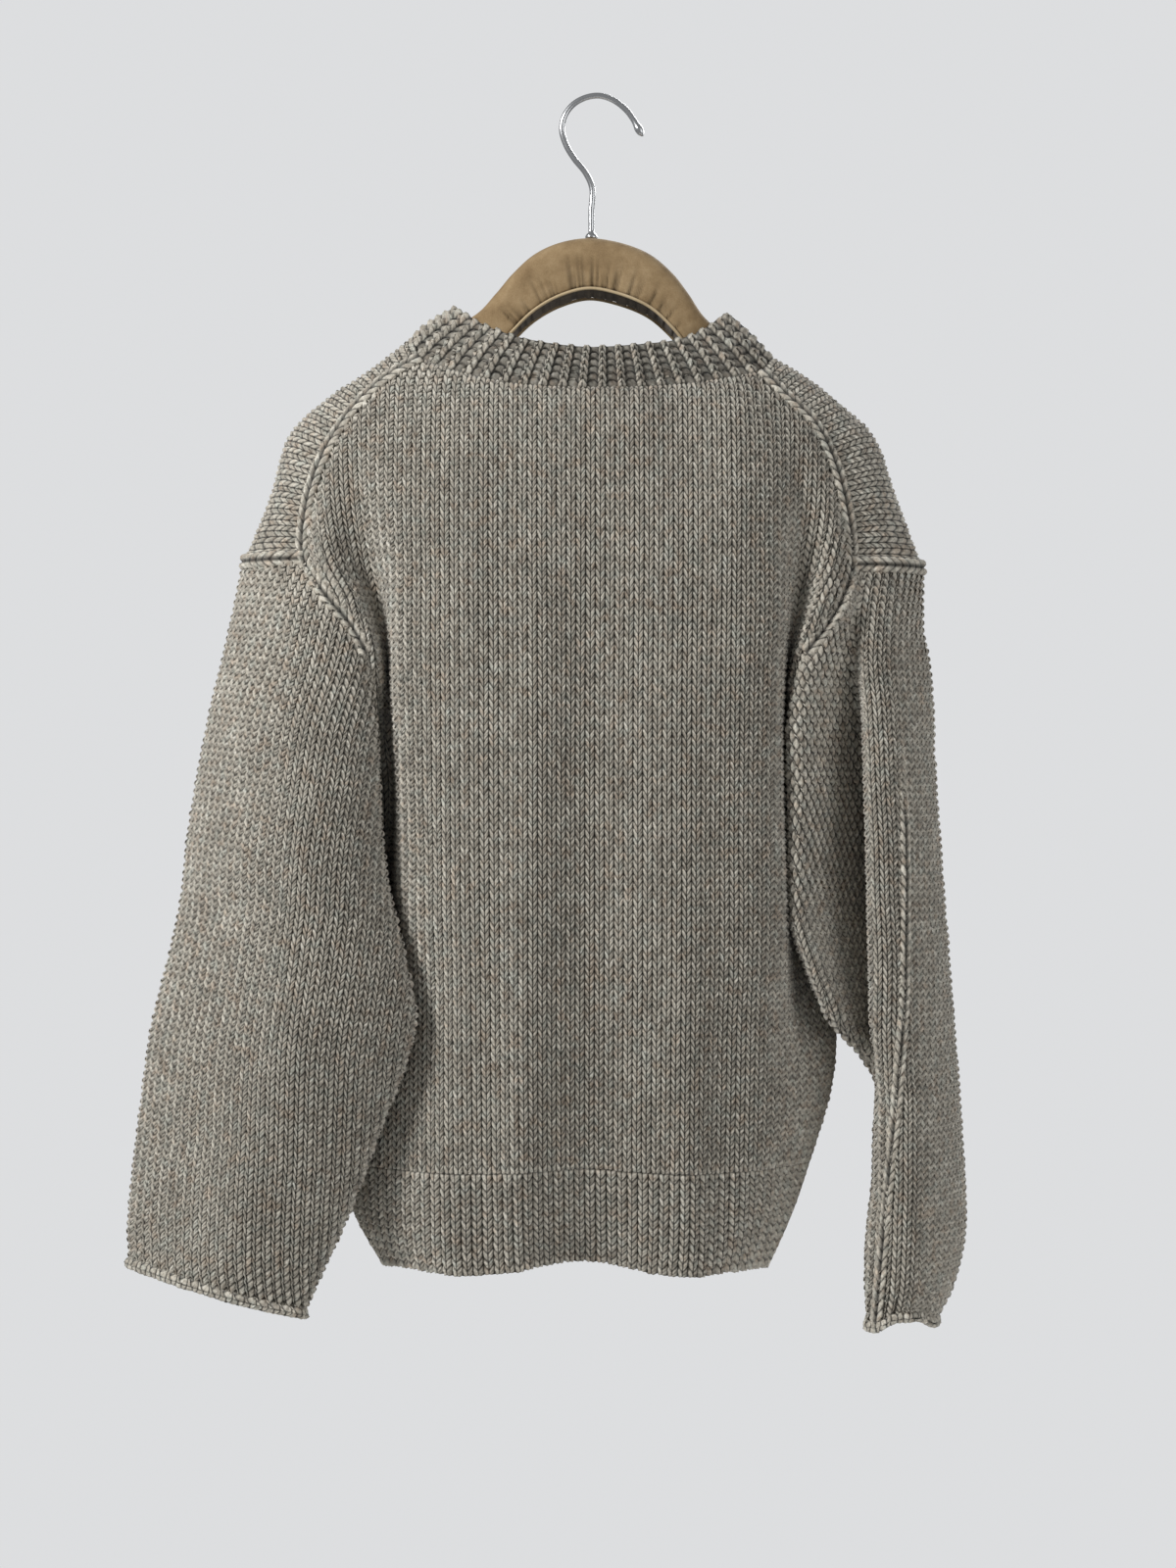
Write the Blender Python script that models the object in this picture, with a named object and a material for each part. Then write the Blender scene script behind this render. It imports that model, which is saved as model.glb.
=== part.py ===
"""Chunky hand-knit cardigan hanging on a contoured hanger, seen from its back.

Metres, +Z up. The garment's back faces -Y and the wearer's left side is at -X. The origin is the
inside of the hook's crown, where a rail would carry the hanger.
"""
import math

import bmesh
import bpy
import numpy as np

MM = 0.001

# Cloth
WALL = 3.0                 # thickness of the knit
FOLDED_WALL = 2.0          # the same where the right sleeve is folded flat and pressed together
SEAM_PULL = 0.21           # how far each of two pieces is drawn back from the seam between them
ARMPIT_GAP = 0.3           # between sleeve and body where they part
BAND_SEAM = 0.7            # gap at the picked-up edge of the band, which cuts the seam's corners
HEM_RIB_PAIR = 7.5         # one knit and one purl wale of the hem rib
HEM_RIB_RISE = 1.6
NECK_RIB_PAIR = 14.4       # one knit and one purl wale of the neck and front bands
NECK_RIB_RISE = 2.0
CUFF_ROLL_RISE = 3.5       # how far the rolled edge of a cuff stands out
HEM_SAG = 7.0              # how far the hem of the back hangs down between its middle and its sides
BACK_BOW = 2.4             # how the back's rows rise to the shoulders: flat in the middle, steep at the sides

# Hook and hanger
WIRE_RADIUS = 2.1
WIRE_SIDES = 10
COLLAR_ROWS = 5            # first rows of the hook, which stand upright
HANGER_CLEARANCE = 0.5     # under the cloth that rests on it
HANGER_SIDES = 20
HANGER_TIP = 2.5           # from the last section to the rounded end
ARCH_REACH = 80            # half width of the arch at the neck
ARCH_FULLNESS = 0.75       # below one: squarer than an oval

# Rows of the tables below at which pieces start and end
SHOULDER_END = 5
ARMPIT = 12
SAG_START = 14
RIB_TOP = 15
HEM = 17

# Steps between the knots of a row
BACK_SEGMENTS = (2, 3, 3, 5, 5, 3, 3, 2)
FRONT_SEGMENTS = (4, 7)
SADDLE_SEGMENTS = 8
LEFT_SLEEVE_SEGMENTS = (2, 5, 5, 5, 3)
RIGHT_SLEEVE_SEGMENTS = (3, 1, 4, 3, 2, 4, 5, 4)
BAND_SEGMENTS = 3

# Side of the back, one row a station from the neck corner to the hem. edge is the seam, lip the
# cloth drawn up beside it, crease the fold behind that, brow where the flat of the back begins.
BACK_COLUMNS = ("edge_x", "edge_y", "edge_z", "lip_x", "lip_y", "crease_x", "crease_y", "brow_x", "brow_y")
BACK_LEFT = (
    (-127, -28, -189, -121, -32, -110, -38, -86, -47),
    (-150, -34, -204, -144, -39, -132, -43, -102, -53),
    (-176, -38, -230, -169, -44, -154, -49, -118, -59),
    (-194, -41, -260, -184, -48, -166, -52, -128, -64),
    (-204, -42, -290, -190, -51, -170, -52, -133, -68),
    (-207, -40, -331, -190, -55, -163, -45, -137, -68),
    (-191, -55, -358, -172, -62, -156, -42, -139, -68),
    (-174, -60, -378, -163, -64, -152, -42, -139, -67),
    (-162, -60, -400, -156, -60, -149, -40, -139, -66),
    (-156, -47, -440, -153, -40, -148, -32, -139, -64),
    (-161, -28, -490, -155, -24, -148, -24, -138, -62),
    (-172, -13, -530, -162, -14, -149, -22, -136, -62),
    (-183, 0, -570, -173, -8, -152, -22, -131, -62),
    (-190, 5, -630, -182, -10, -156, -30, -124, -58),
    (-191, 5, -700, -182, -13, -156, -36, -122, -54),
    (-186, 0, -759, -177, -14, -155, -34, -123, -48),
    (-175, 0, -797, -167, -12, -148, -29, -118, -41),
    (-155, 0, -833, -148, -9, -132, -24, -105, -38),
)
BACK_RIGHT = (
    (114, -28, -198, 108, -32, 97, -38, 70, -47),
    (128, -34, -214, 121, -39, 110, -43, 86, -53),
    (150, -38, -236, 143, -44, 128, -49, 100, -59),
    (163, -41, -262, 153, -48, 137, -52, 108, -64),
    (172, -42, -296, 160, -51, 143, -52, 114, -68),
    (176, -40, -335, 163, -55, 142, -45, 119, -68),
    (169, -53, -361, 154, -62, 138, -42, 122, -68),
    (159, -58, -378, 147, -63, 136, -41, 122, -67),
    (143, -60, -400, 138, -58, 132, -38, 122, -66),
    (132, -50, -440, 131, -42, 129, -30, 122, -64),
    (139, -31, -490, 134, -25, 130, -24, 122, -62),
    (152, -14, -530, 143, -13, 133, -20, 123, -61),
    (165, 0, -570, 156, -1, 138, -12, 124, -61),
    (169, 6, -630, 161, 2, 142, -14, 119, -58),
    (167, 5, -700, 159, -12, 138, -34, 110, -54),
    (150, 0, -759, 142, -13, 124, -33, 98, -48),
    (137, 0, -797, 129, -11, 113, -28, 90, -41),
    (120, 0, -835, 113, -8, 100, -23, 80, -38),
)
# Middle of the back at the same stations
MIDDLE_COLUMNS = ("middle_x", "middle_y", "middle_z")
BACK_MIDDLE = (
    (-10, -57, -213), (-10, -61, -224), (-10, -66, -241), (-10, -69, -266), (-10, -72, -292),
    (-10, -76, -333), (-10, -77, -360), (-10, -78, -378), (-10, -79, -400), (-10, -80, -440),
    (-10, -80, -490), (-10, -80, -530), (-10, -79, -570), (-10, -75, -630), (-10, -67, -700),
    (-10, -57, -759), (-10, -46, -797), (-10, -34, -826),
)
# Soft vertical folds of the back: place at the shoulders and at the hem, width, height at both
BACK_FOLDS = (
    (-88, -100, 18, 2.0, 3.0),
    (-40, -58, 17, -1.5, 8.0),
    (5, 4, 20, 1.0, -7.0),
    (52, 62, 17, -2.0, 6.0),
    (92, 84, 14, 2.0, -2.0),
)

# Ridge of the shoulder, from the neck to the top of the sleeve, at the first stations
RIDGE_LEFT = (
    (-133, 0, -170), (-160, 0, -194), (-191, 1, -213), (-221, 2, -240), (-234, 2, -283), (-254, 0, -331),
)
RIDGE_RIGHT = (
    (124, 0, -186), (147, 0, -200), (173, 1, -220), (196, 2, -243), (210, 2, -281), (230, 0, -335),
)
# How far a saddle rounds out between its seams and the ridge, at the same stations: sideways, in
# depth and up
SADDLE_CROWN = ((2.5, 0, 4), (3.5, 0, 5), (4.8, 1, 5), (5.5, 4, 4), (5.5, 8, 2), (1, 11, 0))

# Front panels, hidden in the photograph. edge is the seam with saddle and sleeve, corner where the
# side turns into the front, inner the edge that carries the front band.
FRONT_COLUMNS = ("edge_x", "edge_y", "edge_z", "corner_x", "corner_y", "inner_x", "inner_y", "inner_z")
FRONT_LEFT = (
    (-127, 30, -189, -124, 33, -121, 34, -191),
    (-150, 36, -206, -134, 42, -115, 42, -225),
    (-176, 40, -232, -148, 50, -106, 50, -252),
    (-194, 43, -262, -158, 55, -98, 55, -281),
    (-203, 44, -292, -162, 58, -89, 59, -309),
    (-206, 40, -331, -166, 60, -76, 63, -347),
    (-196, 44, -358, -162, 60, -68, 64, -371),
    (-188, 46, -378, -158, 60, -63, 65, -390),
    (-180, 47, -400, -154, 60, -57, 66, -410),
    (-172, 42, -440, -150, 58, -49, 67, -445),
    (-174, 28, -490, -152, 54, -45, 68, -490),
    (-178, 14, -530, -158, 50, -45, 68, -530),
    (-183, 0, -570, -168, 40, -45, 67, -570),
    (-190, 5, -630, -172, 44, -45, 65, -630),
    (-191, 5, -700, -172, 46, -45, 62, -700),
    (-186, 0, -759, -168, 40, -45, 57, -759),
    (-175, 0, -797, -158, 36, -45, 50, -797),
    (-155, 0, -833, -140, 30, -45, 44, -833),
)
FRONT_RIGHT = (
    (114, 30, -198, 111, 33, 108, 34, -200),
    (128, 36, -216, 113, 42, 101, 42, -229),
    (150, 40, -238, 125, 50, 92, 50, -254),
    (163, 43, -264, 132, 55, 83, 55, -281),
    (172, 44, -298, 137, 58, 73, 59, -311),
    (180, 40, -335, 142, 60, 59, 63, -348),
    (176, 44, -361, 140, 60, 51, 64, -372),
    (170, 46, -378, 137, 60, 45, 65, -390),
    (163, 47, -400, 134, 60, 39, 66, -410),
    (152, 45, -440, 130, 58, 29, 67, -445),
    (152, 32, -490, 132, 54, 25, 68, -490),
    (157, 16, -530, 138, 50, 25, 68, -530),
    (165, 0, -570, 150, 40, 25, 67, -570),
    (169, 6, -630, 152, 44, 25, 65, -630),
    (167, 5, -700, 149, 46, 25, 62, -700),
    (150, 0, -759, 133, 40, 25, 57, -759),
    (137, 0, -797, 120, 36, 25, 50, -797),
    (120, 0, -835, 105, 30, 25, 44, -835),
)
# Soft folds of the fronts, and the height where they start with the length they take to grow
FRONT_FOLDS = (
    (-128, -112, 16, 2.0, 7.0),
    (-88, -72, 15, -1.5, -6.0),
    (66, 60, 15, -1.5, -6.0),
    (108, 88, 16, 2.0, 7.0),
)
FRONT_FOLD_TOP = -220
FRONT_FOLD_REACH = 600

# Free edge of the band: round the back neck from peak to peak, then down each front
BAND_PEAK_LEFT = (-103, 2, -148)
BAND_PEAK_RIGHT = (91, 2, -152)
BAND_BACK = ((-97, -14, -154), (-84, -29, -163), (-64, -42, -173), (-36, -49, -180), (-8, -51, -183),
             (26, -49, -181), (52, -42, -177), (71, -30, -169), (84, -14, -158))
BAND_LEFT_FRONT = ((-98, 18, -156), (-88, 38, -184), (-78, 52, -222), (-68, 60, -262), (-58, 65, -300),
                   (-46, 69, -342), (-34, 71, -382), (-20, 72, -432), (-14, 72, -475), (-14, 72, -530),
                   (-14, 71, -600), (-14, 68, -680), (-14, 63, -750), (-14, 56, -797), (-14, 50, -833))
BAND_RIGHT_FRONT = ((83, 18, -166), (73, 38, -191), (63, 52, -226), (53, 60, -264), (42, 65, -302),
                    (29, 69, -344), (16, 71, -383), (1, 72, -432), (-6, 72, -475), (-6, 72, -530),
                    (-6, 71, -600), (-6, 68, -680), (-6, 63, -750), (-6, 56, -797), (-6, 50, -838))

# Sleeves. The first rows run from the back armhole seam round to the front one at the stations
# from the shoulder's end to the armpit, the rest are closed rings.
LEFT_SLEEVE_COLUMNS = ("outer_z", "inner_z", "inner_x", "inner_y", "back_x", "back_y", "outer_x", "outer_y",
                       "front_x", "front_y", "under_x", "under_y")
LEFT_SLEEVE = (
    (-331, -331, -215, -41, -231, -31, -254, 0, -240, 27, 0, 0),
    (-358, -358, -201, -56, -222, -48, -259, -2, -232, 33, 0, 0),
    (-378, -378, -186, -64, -215, -58, -263, -4, -225, 36, 0, 0),
    (-400, -400, -174, -66, -212, -64, -268, -6, -223, 36, 0, 0),
    (-440, -440, -160, -66, -211, -74, -277, -8, -223, 30, 0, 0),
    (-490, -490, -155, -63, -210, -81, -286, -12, -225, 16, 0, 0),
    (-530, -530, -152, -62, -210, -85, -292, -14, -226, 6, 0, 0),
    (-570, -570, -146, -62, -210, -87, -296, -16, -227, -2, -183, 0),
    (-592, -590, -140, -63, -210, -88, -300, -17, -226, -8, -176, -20),
    (-618, -615, -134, -66, -210, -88, -306, -18, -226, -14, -162, -38),
    (-659, -654, -128, -67, -214, -86, -316, -20, -227, -20, -139, -53),
    (-692, -688, -137, -64, -223, -80, -321, -21, -234, -21, -146, -49),
    (-725, -721, -150, -59, -232, -74, -325, -22, -241, -22, -158, -44),
    (-757, -753, -162, -55, -240, -69, -329, -23, -248, -23, -170, -40),
    (-787, -787, -175, -51, -248, -64, -332, -24, -254, -23, -183, -36),
    (-808, -824, -192, -48, -257, -60, -333, -25, -262, -21, -199, -33),
    (-829, -861, -209, -46, -266, -56, -331, -26, -271, -20, -215, -31),
)
RIGHT_SLEEVE_COLUMNS = ("outer_z", "inner_z", "tip_x", "tip_y", "inner_x", "inner_y", "crease_x", "crease_y",
                        "lip_x", "lip_y", "back_x", "back_y", "outer_x", "outer_y", "front_x", "front_y",
                        "under_x", "under_y")
RIGHT_SLEEVE = (
    (-335, -335, 178, -41, 180, -41, 186, -41, 194, -38, 213, -25, 230, 0, 215, 27, 0, 0),
    (-361, -361, 171, -55, 174, -55, 182, -46, 190, -44, 209, -35, 230, -1, 210, 33, 0, 0),
    (-378, -378, 162, -60, 165, -60, 177, -45, 188, -48, 207, -40, 230, -1, 207, 36, 0, 0),
    (-400, -400, 148, -63, 153, -63, 177, -40, 186, -51, 206, -45, 234, -2, 204, 40, 0, 0),
    (-440, -440, 133, -58, 140, -60, 183, -24, 186, -54, 209, -50, 237, -2, 199, 44, 0, 0),
    (-490, -490, 131, -50, 138, -57, 188, -10, 187, -56, 211, -52, 239, 0, 199, 48, 0, 0),
    (-530, -530, 132, -48, 137, -56, 191, -5, 188, -56, 213, -52, 242, 1, 200, 51, 0, 0),
    (-570, -570, 132, -47, 137, -56, 192, -3, 189, -56, 214, -52, 245, 2, 201, 54, 165, 0),
    (-592, -590, 134, -47, 139, -56, 193, -6, 189, -56, 215, -52, 247, 3, 203, 58, 172, -6),
    (-619, -616, 143, -44, 149, -52, 193, -10, 190, -55, 216, -52, 249, 4, 205, 63, 178, -4),
    (-661, -657, 162, -34, 169, -41, 194, -16, 191, -52, 216, -52, 253, 6, 213, 72, 186, 5),
    (-686, -683, 186, -4, 191, -13, 198, -17, 194, -49, 217, -53, 255, 8, 219, 77, 195, 22),
    (-707, -704, 199, 8, 198, 2, 197, -20, 196, -46, 218, -54, 257, 10, 223, 82, 205, 42),
    (-740, -740, 198, 13, 197, 7, 196, -20, 195, -44, 218, -54, 259, 10, 228, 84, 205, 44),
    (-771, -771, 197, 11, 196, 5, 195, -20, 194, -42, 218, -54, 261, 10, 231, 83, 204, 43),
    (-819, -818, 192, 7, 191, 1, 190, -18, 189, -38, 217, -50, 260, 8, 230, 74, 200, 38),
    (-846, -844, 192, 6, 191, 0, 190, -17, 189, -36, 216, -46, 253, 6, 229, 68, 199, 34),
    (-873, -873, 195, 5, 194, 0, 192, -16, 191, -33, 212, -41, 240, 4, 225, 56, 201, 28),
)
# Rows of a cuff: share of the stretch between the sleeve's last two rows, and how far it rolls out
CUFF_STEPS = ((0.5, 0.0), (0.68, 0.15), (0.8, 0.9), (0.91, 1.0), (1.0, 0.35))

# Arch of the hanger at the neck: place along X, height of its top and underside, half depth
HANGER_ARCH = (
    (-89, -155, -197, 17), (-74, -140, -184, 20), (-62, -126, -170, 22), (-46, -112, -155, 24),
    (-28, -104, -145, 25), (-8, -101, -140, 25), (14, -104, -144, 25), (35, -112, -153, 24),
    (52, -126, -168, 22), (63, -140, -182, 20), (76, -158, -197, 17),
)
# Height and half depth of the hanger below each saddle station, its drop below the cloth there and
# how far it stays short of the station
HANGER_SHOULDER = ((38, 16, 0, 0), (36, 18, 0, 0), (32, 15, 1, 0), (20, 9, 3, 5))
# Hook, from the collar on the hanger to the ball at its tip: x, z, wire radius
HOOK = (
    (-6, -100.5, 6.5), (-6, -98.0, 6.5), (-6, -96.6, 5.0), (-6, -95.6, WIRE_RADIUS), (-6, -80, WIRE_RADIUS),
    (-5.4, -64, WIRE_RADIUS), (-10, -53, WIRE_RADIUS), (-18, -43, WIRE_RADIUS), (-24, -33, WIRE_RADIUS),
    (-27, -22, WIRE_RADIUS), (-25, -12, WIRE_RADIUS), (-19, -4, WIRE_RADIUS), (-10, 1, WIRE_RADIUS),
    (0, 2.3, WIRE_RADIUS), (10, -1, WIRE_RADIUS), (19, -8, WIRE_RADIUS), (24.5, -15.5, WIRE_RADIUS),
    (26.2, -18.6, 3.0), (27.8, -21.4, 3.7), (29.4, -24.3, 3.0), (30.5, -26.2, 1.2),
)


def clear_scene():
    """Remove everything that the file opens with."""
    for obj in list(bpy.data.objects):
        bpy.data.objects.remove(obj, do_unlink=True)


def material(name, color, roughness, metallic=0.0):
    """A plain Principled material."""
    made = bpy.data.materials.new(name)
    made.use_nodes = True
    shader = made.node_tree.nodes["Principled BSDF"]
    shader.inputs["Base Color"].default_value = (*color, 1.0)
    shader.inputs["Roughness"].default_value = roughness
    shader.inputs["Metallic"].default_value = metallic
    return made


def table(columns, rows):
    """Columns of a table by name, each an array with one value a row."""
    return {name: np.array([row[i] for row in rows], dtype=float) for i, name in enumerate(columns)}


def knots(columns, *names):
    """Points of one row side by side: names are prefixes such as edge, with x and y columns."""
    return [np.stack([columns[name + "_x"], columns[name + "_y"]], axis=-1) for name in names]


def smooth_curve(points, segments, closed=False):
    """Centripetal Catmull-Rom curve through points, with segments[i] steps after point i."""
    points = np.asarray(points, dtype=float)
    if closed:
        padded = np.vstack([points[-1], points, points[0], points[1]])
    else:
        padded = np.vstack([2 * points[0] - points[1], points, 2 * points[-1] - points[-2]])
    out = []
    for i, steps in enumerate(segments):
        p0, p1, p2, p3 = padded[i:i + 4]
        t0 = 0.0
        t1 = t0 + max(np.linalg.norm(p1 - p0), 1e-6) ** 0.5
        t2 = t1 + max(np.linalg.norm(p2 - p1), 1e-6) ** 0.5
        t3 = t2 + max(np.linalg.norm(p3 - p2), 1e-6) ** 0.5
        for k in range(steps):
            t = t1 + (t2 - t1) * k / steps
            a1 = (t1 - t) / (t1 - t0) * p0 + (t - t0) / (t1 - t0) * p1
            a2 = (t2 - t) / (t2 - t1) * p1 + (t - t1) / (t2 - t1) * p2
            a3 = (t3 - t) / (t3 - t2) * p2 + (t - t2) / (t3 - t2) * p3
            b1 = (t2 - t) / (t2 - t0) * a1 + (t - t0) / (t2 - t0) * a2
            b2 = (t3 - t) / (t3 - t1) * a2 + (t - t1) / (t3 - t1) * a3
            out.append((t2 - t) / (t2 - t1) * b1 + (t - t1) / (t2 - t1) * b2)
    out.append(points[0] if closed else points[-1])
    return np.array(out)


def unit(vectors):
    """Vectors scaled to length one."""
    return vectors / np.maximum(np.linalg.norm(vectors, axis=-1, keepdims=True), 1e-9)


def inward(grid, side):
    """Direction into the garment at every point of a grid of rows and columns."""
    across = np.gradient(grid, axis=1)
    down = np.gradient(grid, axis=0)
    normal = unit(np.cross(unit(across), unit(down))) * side
    evened = normal.copy()
    evened[:, 1:-1] += (normal[:, :-2] + normal[:, 2:]) / 2
    evened[1:-1] += (normal[:-2] + normal[2:]) / 2
    return unit(evened)


def folds(x, share, rows):
    """Height of the soft vertical folds at x, share of the way from shoulders to hem."""
    height = np.zeros_like(x)
    for top_x, hem_x, width, top_height, hem_height in rows:
        centre = top_x + (hem_x - top_x) * share
        size = top_height + (hem_height - top_height) * share
        height += size * np.exp(-((x - centre) / width) ** 2)
    return height


def back_rows():
    """Outer points of the back from the neck to the hem, a row a station, left to right."""
    left = table(BACK_COLUMNS, BACK_LEFT)
    right = table(BACK_COLUMNS, BACK_RIGHT)
    middle = table(MIDDLE_COLUMNS, BACK_MIDDLE)
    rows = []
    for s in range(len(BACK_LEFT)):
        stops = [point[s] for point in knots(left, "edge", "lip", "crease", "brow")]
        stops += [point[s] for point in knots(middle, "middle")]
        stops += [point[s] for point in knots(right, "brow", "crease", "lip", "edge")]
        plan = smooth_curve(stops, BACK_SEGMENTS)
        share = (plan[:, 0] - plan[0, 0]) / (plan[-1, 0] - plan[0, 0])
        level = middle["middle_z"][s]
        rise = np.where(share < 0.5, left["edge_z"][s] - level, right["edge_z"][s] - level)
        height = level + rise * np.abs(2 * share - 1) ** BACK_BOW
        sag = HEM_SAG * np.clip((s - SAG_START) / (HEM - SAG_START), 0, 1)
        height -= sag * np.sin(2 * math.pi * share) ** 2
        down = (middle["middle_z"][0] - level) / (middle["middle_z"][0] - middle["middle_z"][-1])
        plan[:, 1] -= folds(plan[:, 0], down, BACK_FOLDS) * np.clip(s / 3, 0, 1)
        rows.append(np.column_stack([plan, height]))
    return np.array(rows)


def front_rows(rows, side_edge):
    """Outer points of a front from its outer edge to the edge that carries the band."""
    front = table(FRONT_COLUMNS, rows)
    edge, corner, inner = knots(front, "edge", "corner", "inner")
    out = []
    for s in range(len(rows)):
        plan = smooth_curve([edge[s], corner[s], inner[s]], FRONT_SEGMENTS)
        share = (plan[:, 0] - plan[0, 0]) / (plan[-1, 0] - plan[0, 0])
        height = front["edge_z"][s] + (front["inner_z"][s] - front["edge_z"][s]) * share
        down = np.clip((FRONT_FOLD_TOP - front["edge_z"][s]) / FRONT_FOLD_REACH, 0, 1)
        swell = folds(plan[:, 0], down, FRONT_FOLDS)
        swell *= np.clip(12 * share * (1 - share), 0, 1) * np.clip(s / 3, 0, 1)
        plan[:, 1] += swell
        out.append(np.column_stack([plan, height]))
    out = np.array(out)
    out[ARMPIT:, 0] = side_edge[ARMPIT:]
    return out


def saddle_rows(back_edge, front_edge, ridge, side):
    """Outer points of a saddle, from the back seam over the ridge to the front seam."""
    out = []
    for s in range(SHOULDER_END + 1):
        out_by, deep_by, up_by = SADDLE_CROWN[s]
        back_half = (back_edge[s] + ridge[s]) / 2 + (out_by * side, -deep_by, up_by)
        front_half = (front_edge[s] + ridge[s]) / 2 + (out_by * side, deep_by, up_by)
        stops = [back_edge[s], back_half, ridge[s], front_half, front_edge[s]]
        curve = smooth_curve(stops, (SADDLE_SEGMENTS // 4,) * 4)
        out.append(curve)
    return np.array(out)


def sleeve_rows(columns, rows, names, segments, back_edge, front_edge):
    """Outer points of a sleeve: open rows down to the armpit, then rings that end at the cuff."""
    sleeve = table(columns, rows)
    stops = knots(sleeve, *names)
    under = knots(sleeve, "under")[0]
    out = []
    for r in range(len(rows)):
        station = SHOULDER_END + r
        ring = [point[r] for point in stops]
        if station < ARMPIT:
            ring = [back_edge[station][:2]] + ring + [front_edge[station][:2]]
            plan = smooth_curve(ring, segments)
        else:
            plan = smooth_curve([under[r]] + ring, segments, closed=True)
        outer_x = sleeve["outer_x"][r]
        inner_x = sleeve["inner_x"][r]
        share = np.clip((plan[:, 0] - inner_x) / (outer_x - inner_x), 0, 1)
        height = sleeve["inner_z"][r] + (sleeve["outer_z"][r] - sleeve["inner_z"][r]) * share
        out.append(np.column_stack([plan, height]))
    edge = out.pop()
    last = out[-1]
    out += [last + (edge - last) * share for share, _ in CUFF_STEPS]
    return np.array(out)


def cuff_roll(rows, inwards):
    """Push the last rows of a sleeve out into its rolled edge."""
    for row, (_, roll) in enumerate(CUFF_STEPS, start=len(rows) - len(CUFF_STEPS)):
        rows[row] -= inwards[row] * CUFF_ROLL_RISE * roll


def pull_back(outer, inner, side, rows=slice(None)):
    """Draw one side of a panel back from its seam."""
    edge, neighbour = {"left": ((rows, 0), (rows, 1)), "right": ((rows, -1), (rows, -2)),
                       "top": ((0, slice(None)), (1, slice(None))),
                       "bottom": ((-1, slice(None)), (-2, slice(None)))}[side]
    step = unit(outer[neighbour] - outer[edge]) * SEAM_PULL
    outer[edge] += step
    inner[edge] += step


def place_grid(bm, points):
    """A bmesh grid whose corners take the places of points, as rows of vertices."""
    rows, columns = points.shape[:2]
    made = bmesh.ops.create_grid(bm, x_segments=columns - 1, y_segments=rows - 1, size=1.0)["verts"]
    grid = [[None] * columns for _ in range(rows)]
    for vert in made:
        column = round((vert.co.x + 1) / 2 * (columns - 1))
        row = round((1 - vert.co.y) / 2 * (rows - 1))
        grid[row][column] = vert
    for row in range(rows):
        for column in range(columns):
            grid[row][column].co = points[row][column] * MM
    return grid


def wall(name, outer, inner, finish, closed_from=None):
    """A closed solid between an outer and an inner grid; rows from closed_from on are rings."""
    bm = bmesh.new()
    outside = place_grid(bm, outer)
    inside = place_grid(bm, inner)
    for row in (0, -1):
        for c in range(len(outside[0]) - 1):
            bm.faces.new((outside[row][c], outside[row][c + 1], inside[row][c + 1], inside[row][c]))
    open_rows = len(outside) - 1 if closed_from is None else closed_from
    for c in (0, -1):
        for r in range(open_rows):
            bm.faces.new((outside[r][c], outside[r + 1][c], inside[r + 1][c], inside[r][c]))
    if closed_from is not None:
        seam = {row[-1]: row[0] for grid in (outside, inside) for row in grid[closed_from:]}
        bmesh.ops.weld_verts(bm, targetmap=seam)
    return finish_solid(name, bm, finish)


def tube(name, rings, finish):
    """A solid skinned over rings of points, with its two ends closed."""
    bm = bmesh.new()
    loops = [[bm.verts.new(point * MM) for point in ring] for ring in rings]
    count = len(loops[0])
    for near, far in zip(loops, loops[1:]):
        for i in range(count):
            j = (i + 1) % count
            bm.faces.new((near[i], near[j], far[j], far[i]))
    bm.faces.new(loops[0])
    bm.faces.new(loops[-1])
    return finish_solid(name, bm, finish)


def finish_solid(name, bm, finish):
    """Turn a closed bmesh into a named object with its material."""
    bmesh.ops.triangulate(bm, faces=bm.faces[:])
    bmesh.ops.recalc_face_normals(bm, faces=bm.faces[:])
    mesh = bpy.data.meshes.new(name)
    bm.to_mesh(mesh)
    bm.free()
    mesh.shade_smooth()
    mesh.materials.append(finish)
    obj = bpy.data.objects.new(name, mesh)
    bpy.context.scene.collection.objects.link(obj)
    return obj


class Panel:
    """One knitted piece: a grid of outer points and the direction into the garment at each."""

    def __init__(self, outer, side, thickness=WALL):
        self.outer = outer
        self.inward = inward(outer, side)
        self.thickness = thickness

    def share_edge(self, mine, other, theirs):
        """Give two pieces the same direction along the seam between them, evened out along it."""
        common = unit(self.inward[mine] + other.inward[theirs])
        evened = common.copy()
        evened[1:-1] += (common[:-2] + common[2:]) / 2
        common = unit(evened)
        self.inward[mine] = common
        other.inward[theirs] = common

    def level(self, row):
        """Keep the wall of one row horizontal, where a piece above or below meets it."""
        self.inward[row, :, 2] = 0.0
        self.inward[row] = unit(self.inward[row])

    def build(self, name, finish, sides, closed_from=None, open_rows=slice(None)):
        """The solid, drawn back from the seams on the named sides."""
        inner = self.outer + self.inward * self.thickness
        outer = self.outer.copy()
        for side in sides:
            pull_back(outer, inner, side, open_rows)
        return wall(name, outer, inner, finish, closed_from)


def reach_along(polyline):
    """Length of a polyline up to each of its points."""
    steps = np.linalg.norm(np.diff(polyline, axis=0), axis=1)
    return np.concatenate([[0.0], np.cumsum(steps)])


def spread(polyline, values, count=None, shares=None):
    """Values given at a polyline's points, read at count even steps or at shares of its length."""
    reach = reach_along(polyline)
    stops = reach[-1] * (np.linspace(0.0, 1.0, count) if shares is None else shares)
    return np.stack([np.interp(stops, reach, values[:, i]) for i in range(values.shape[1])], axis=1)


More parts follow.
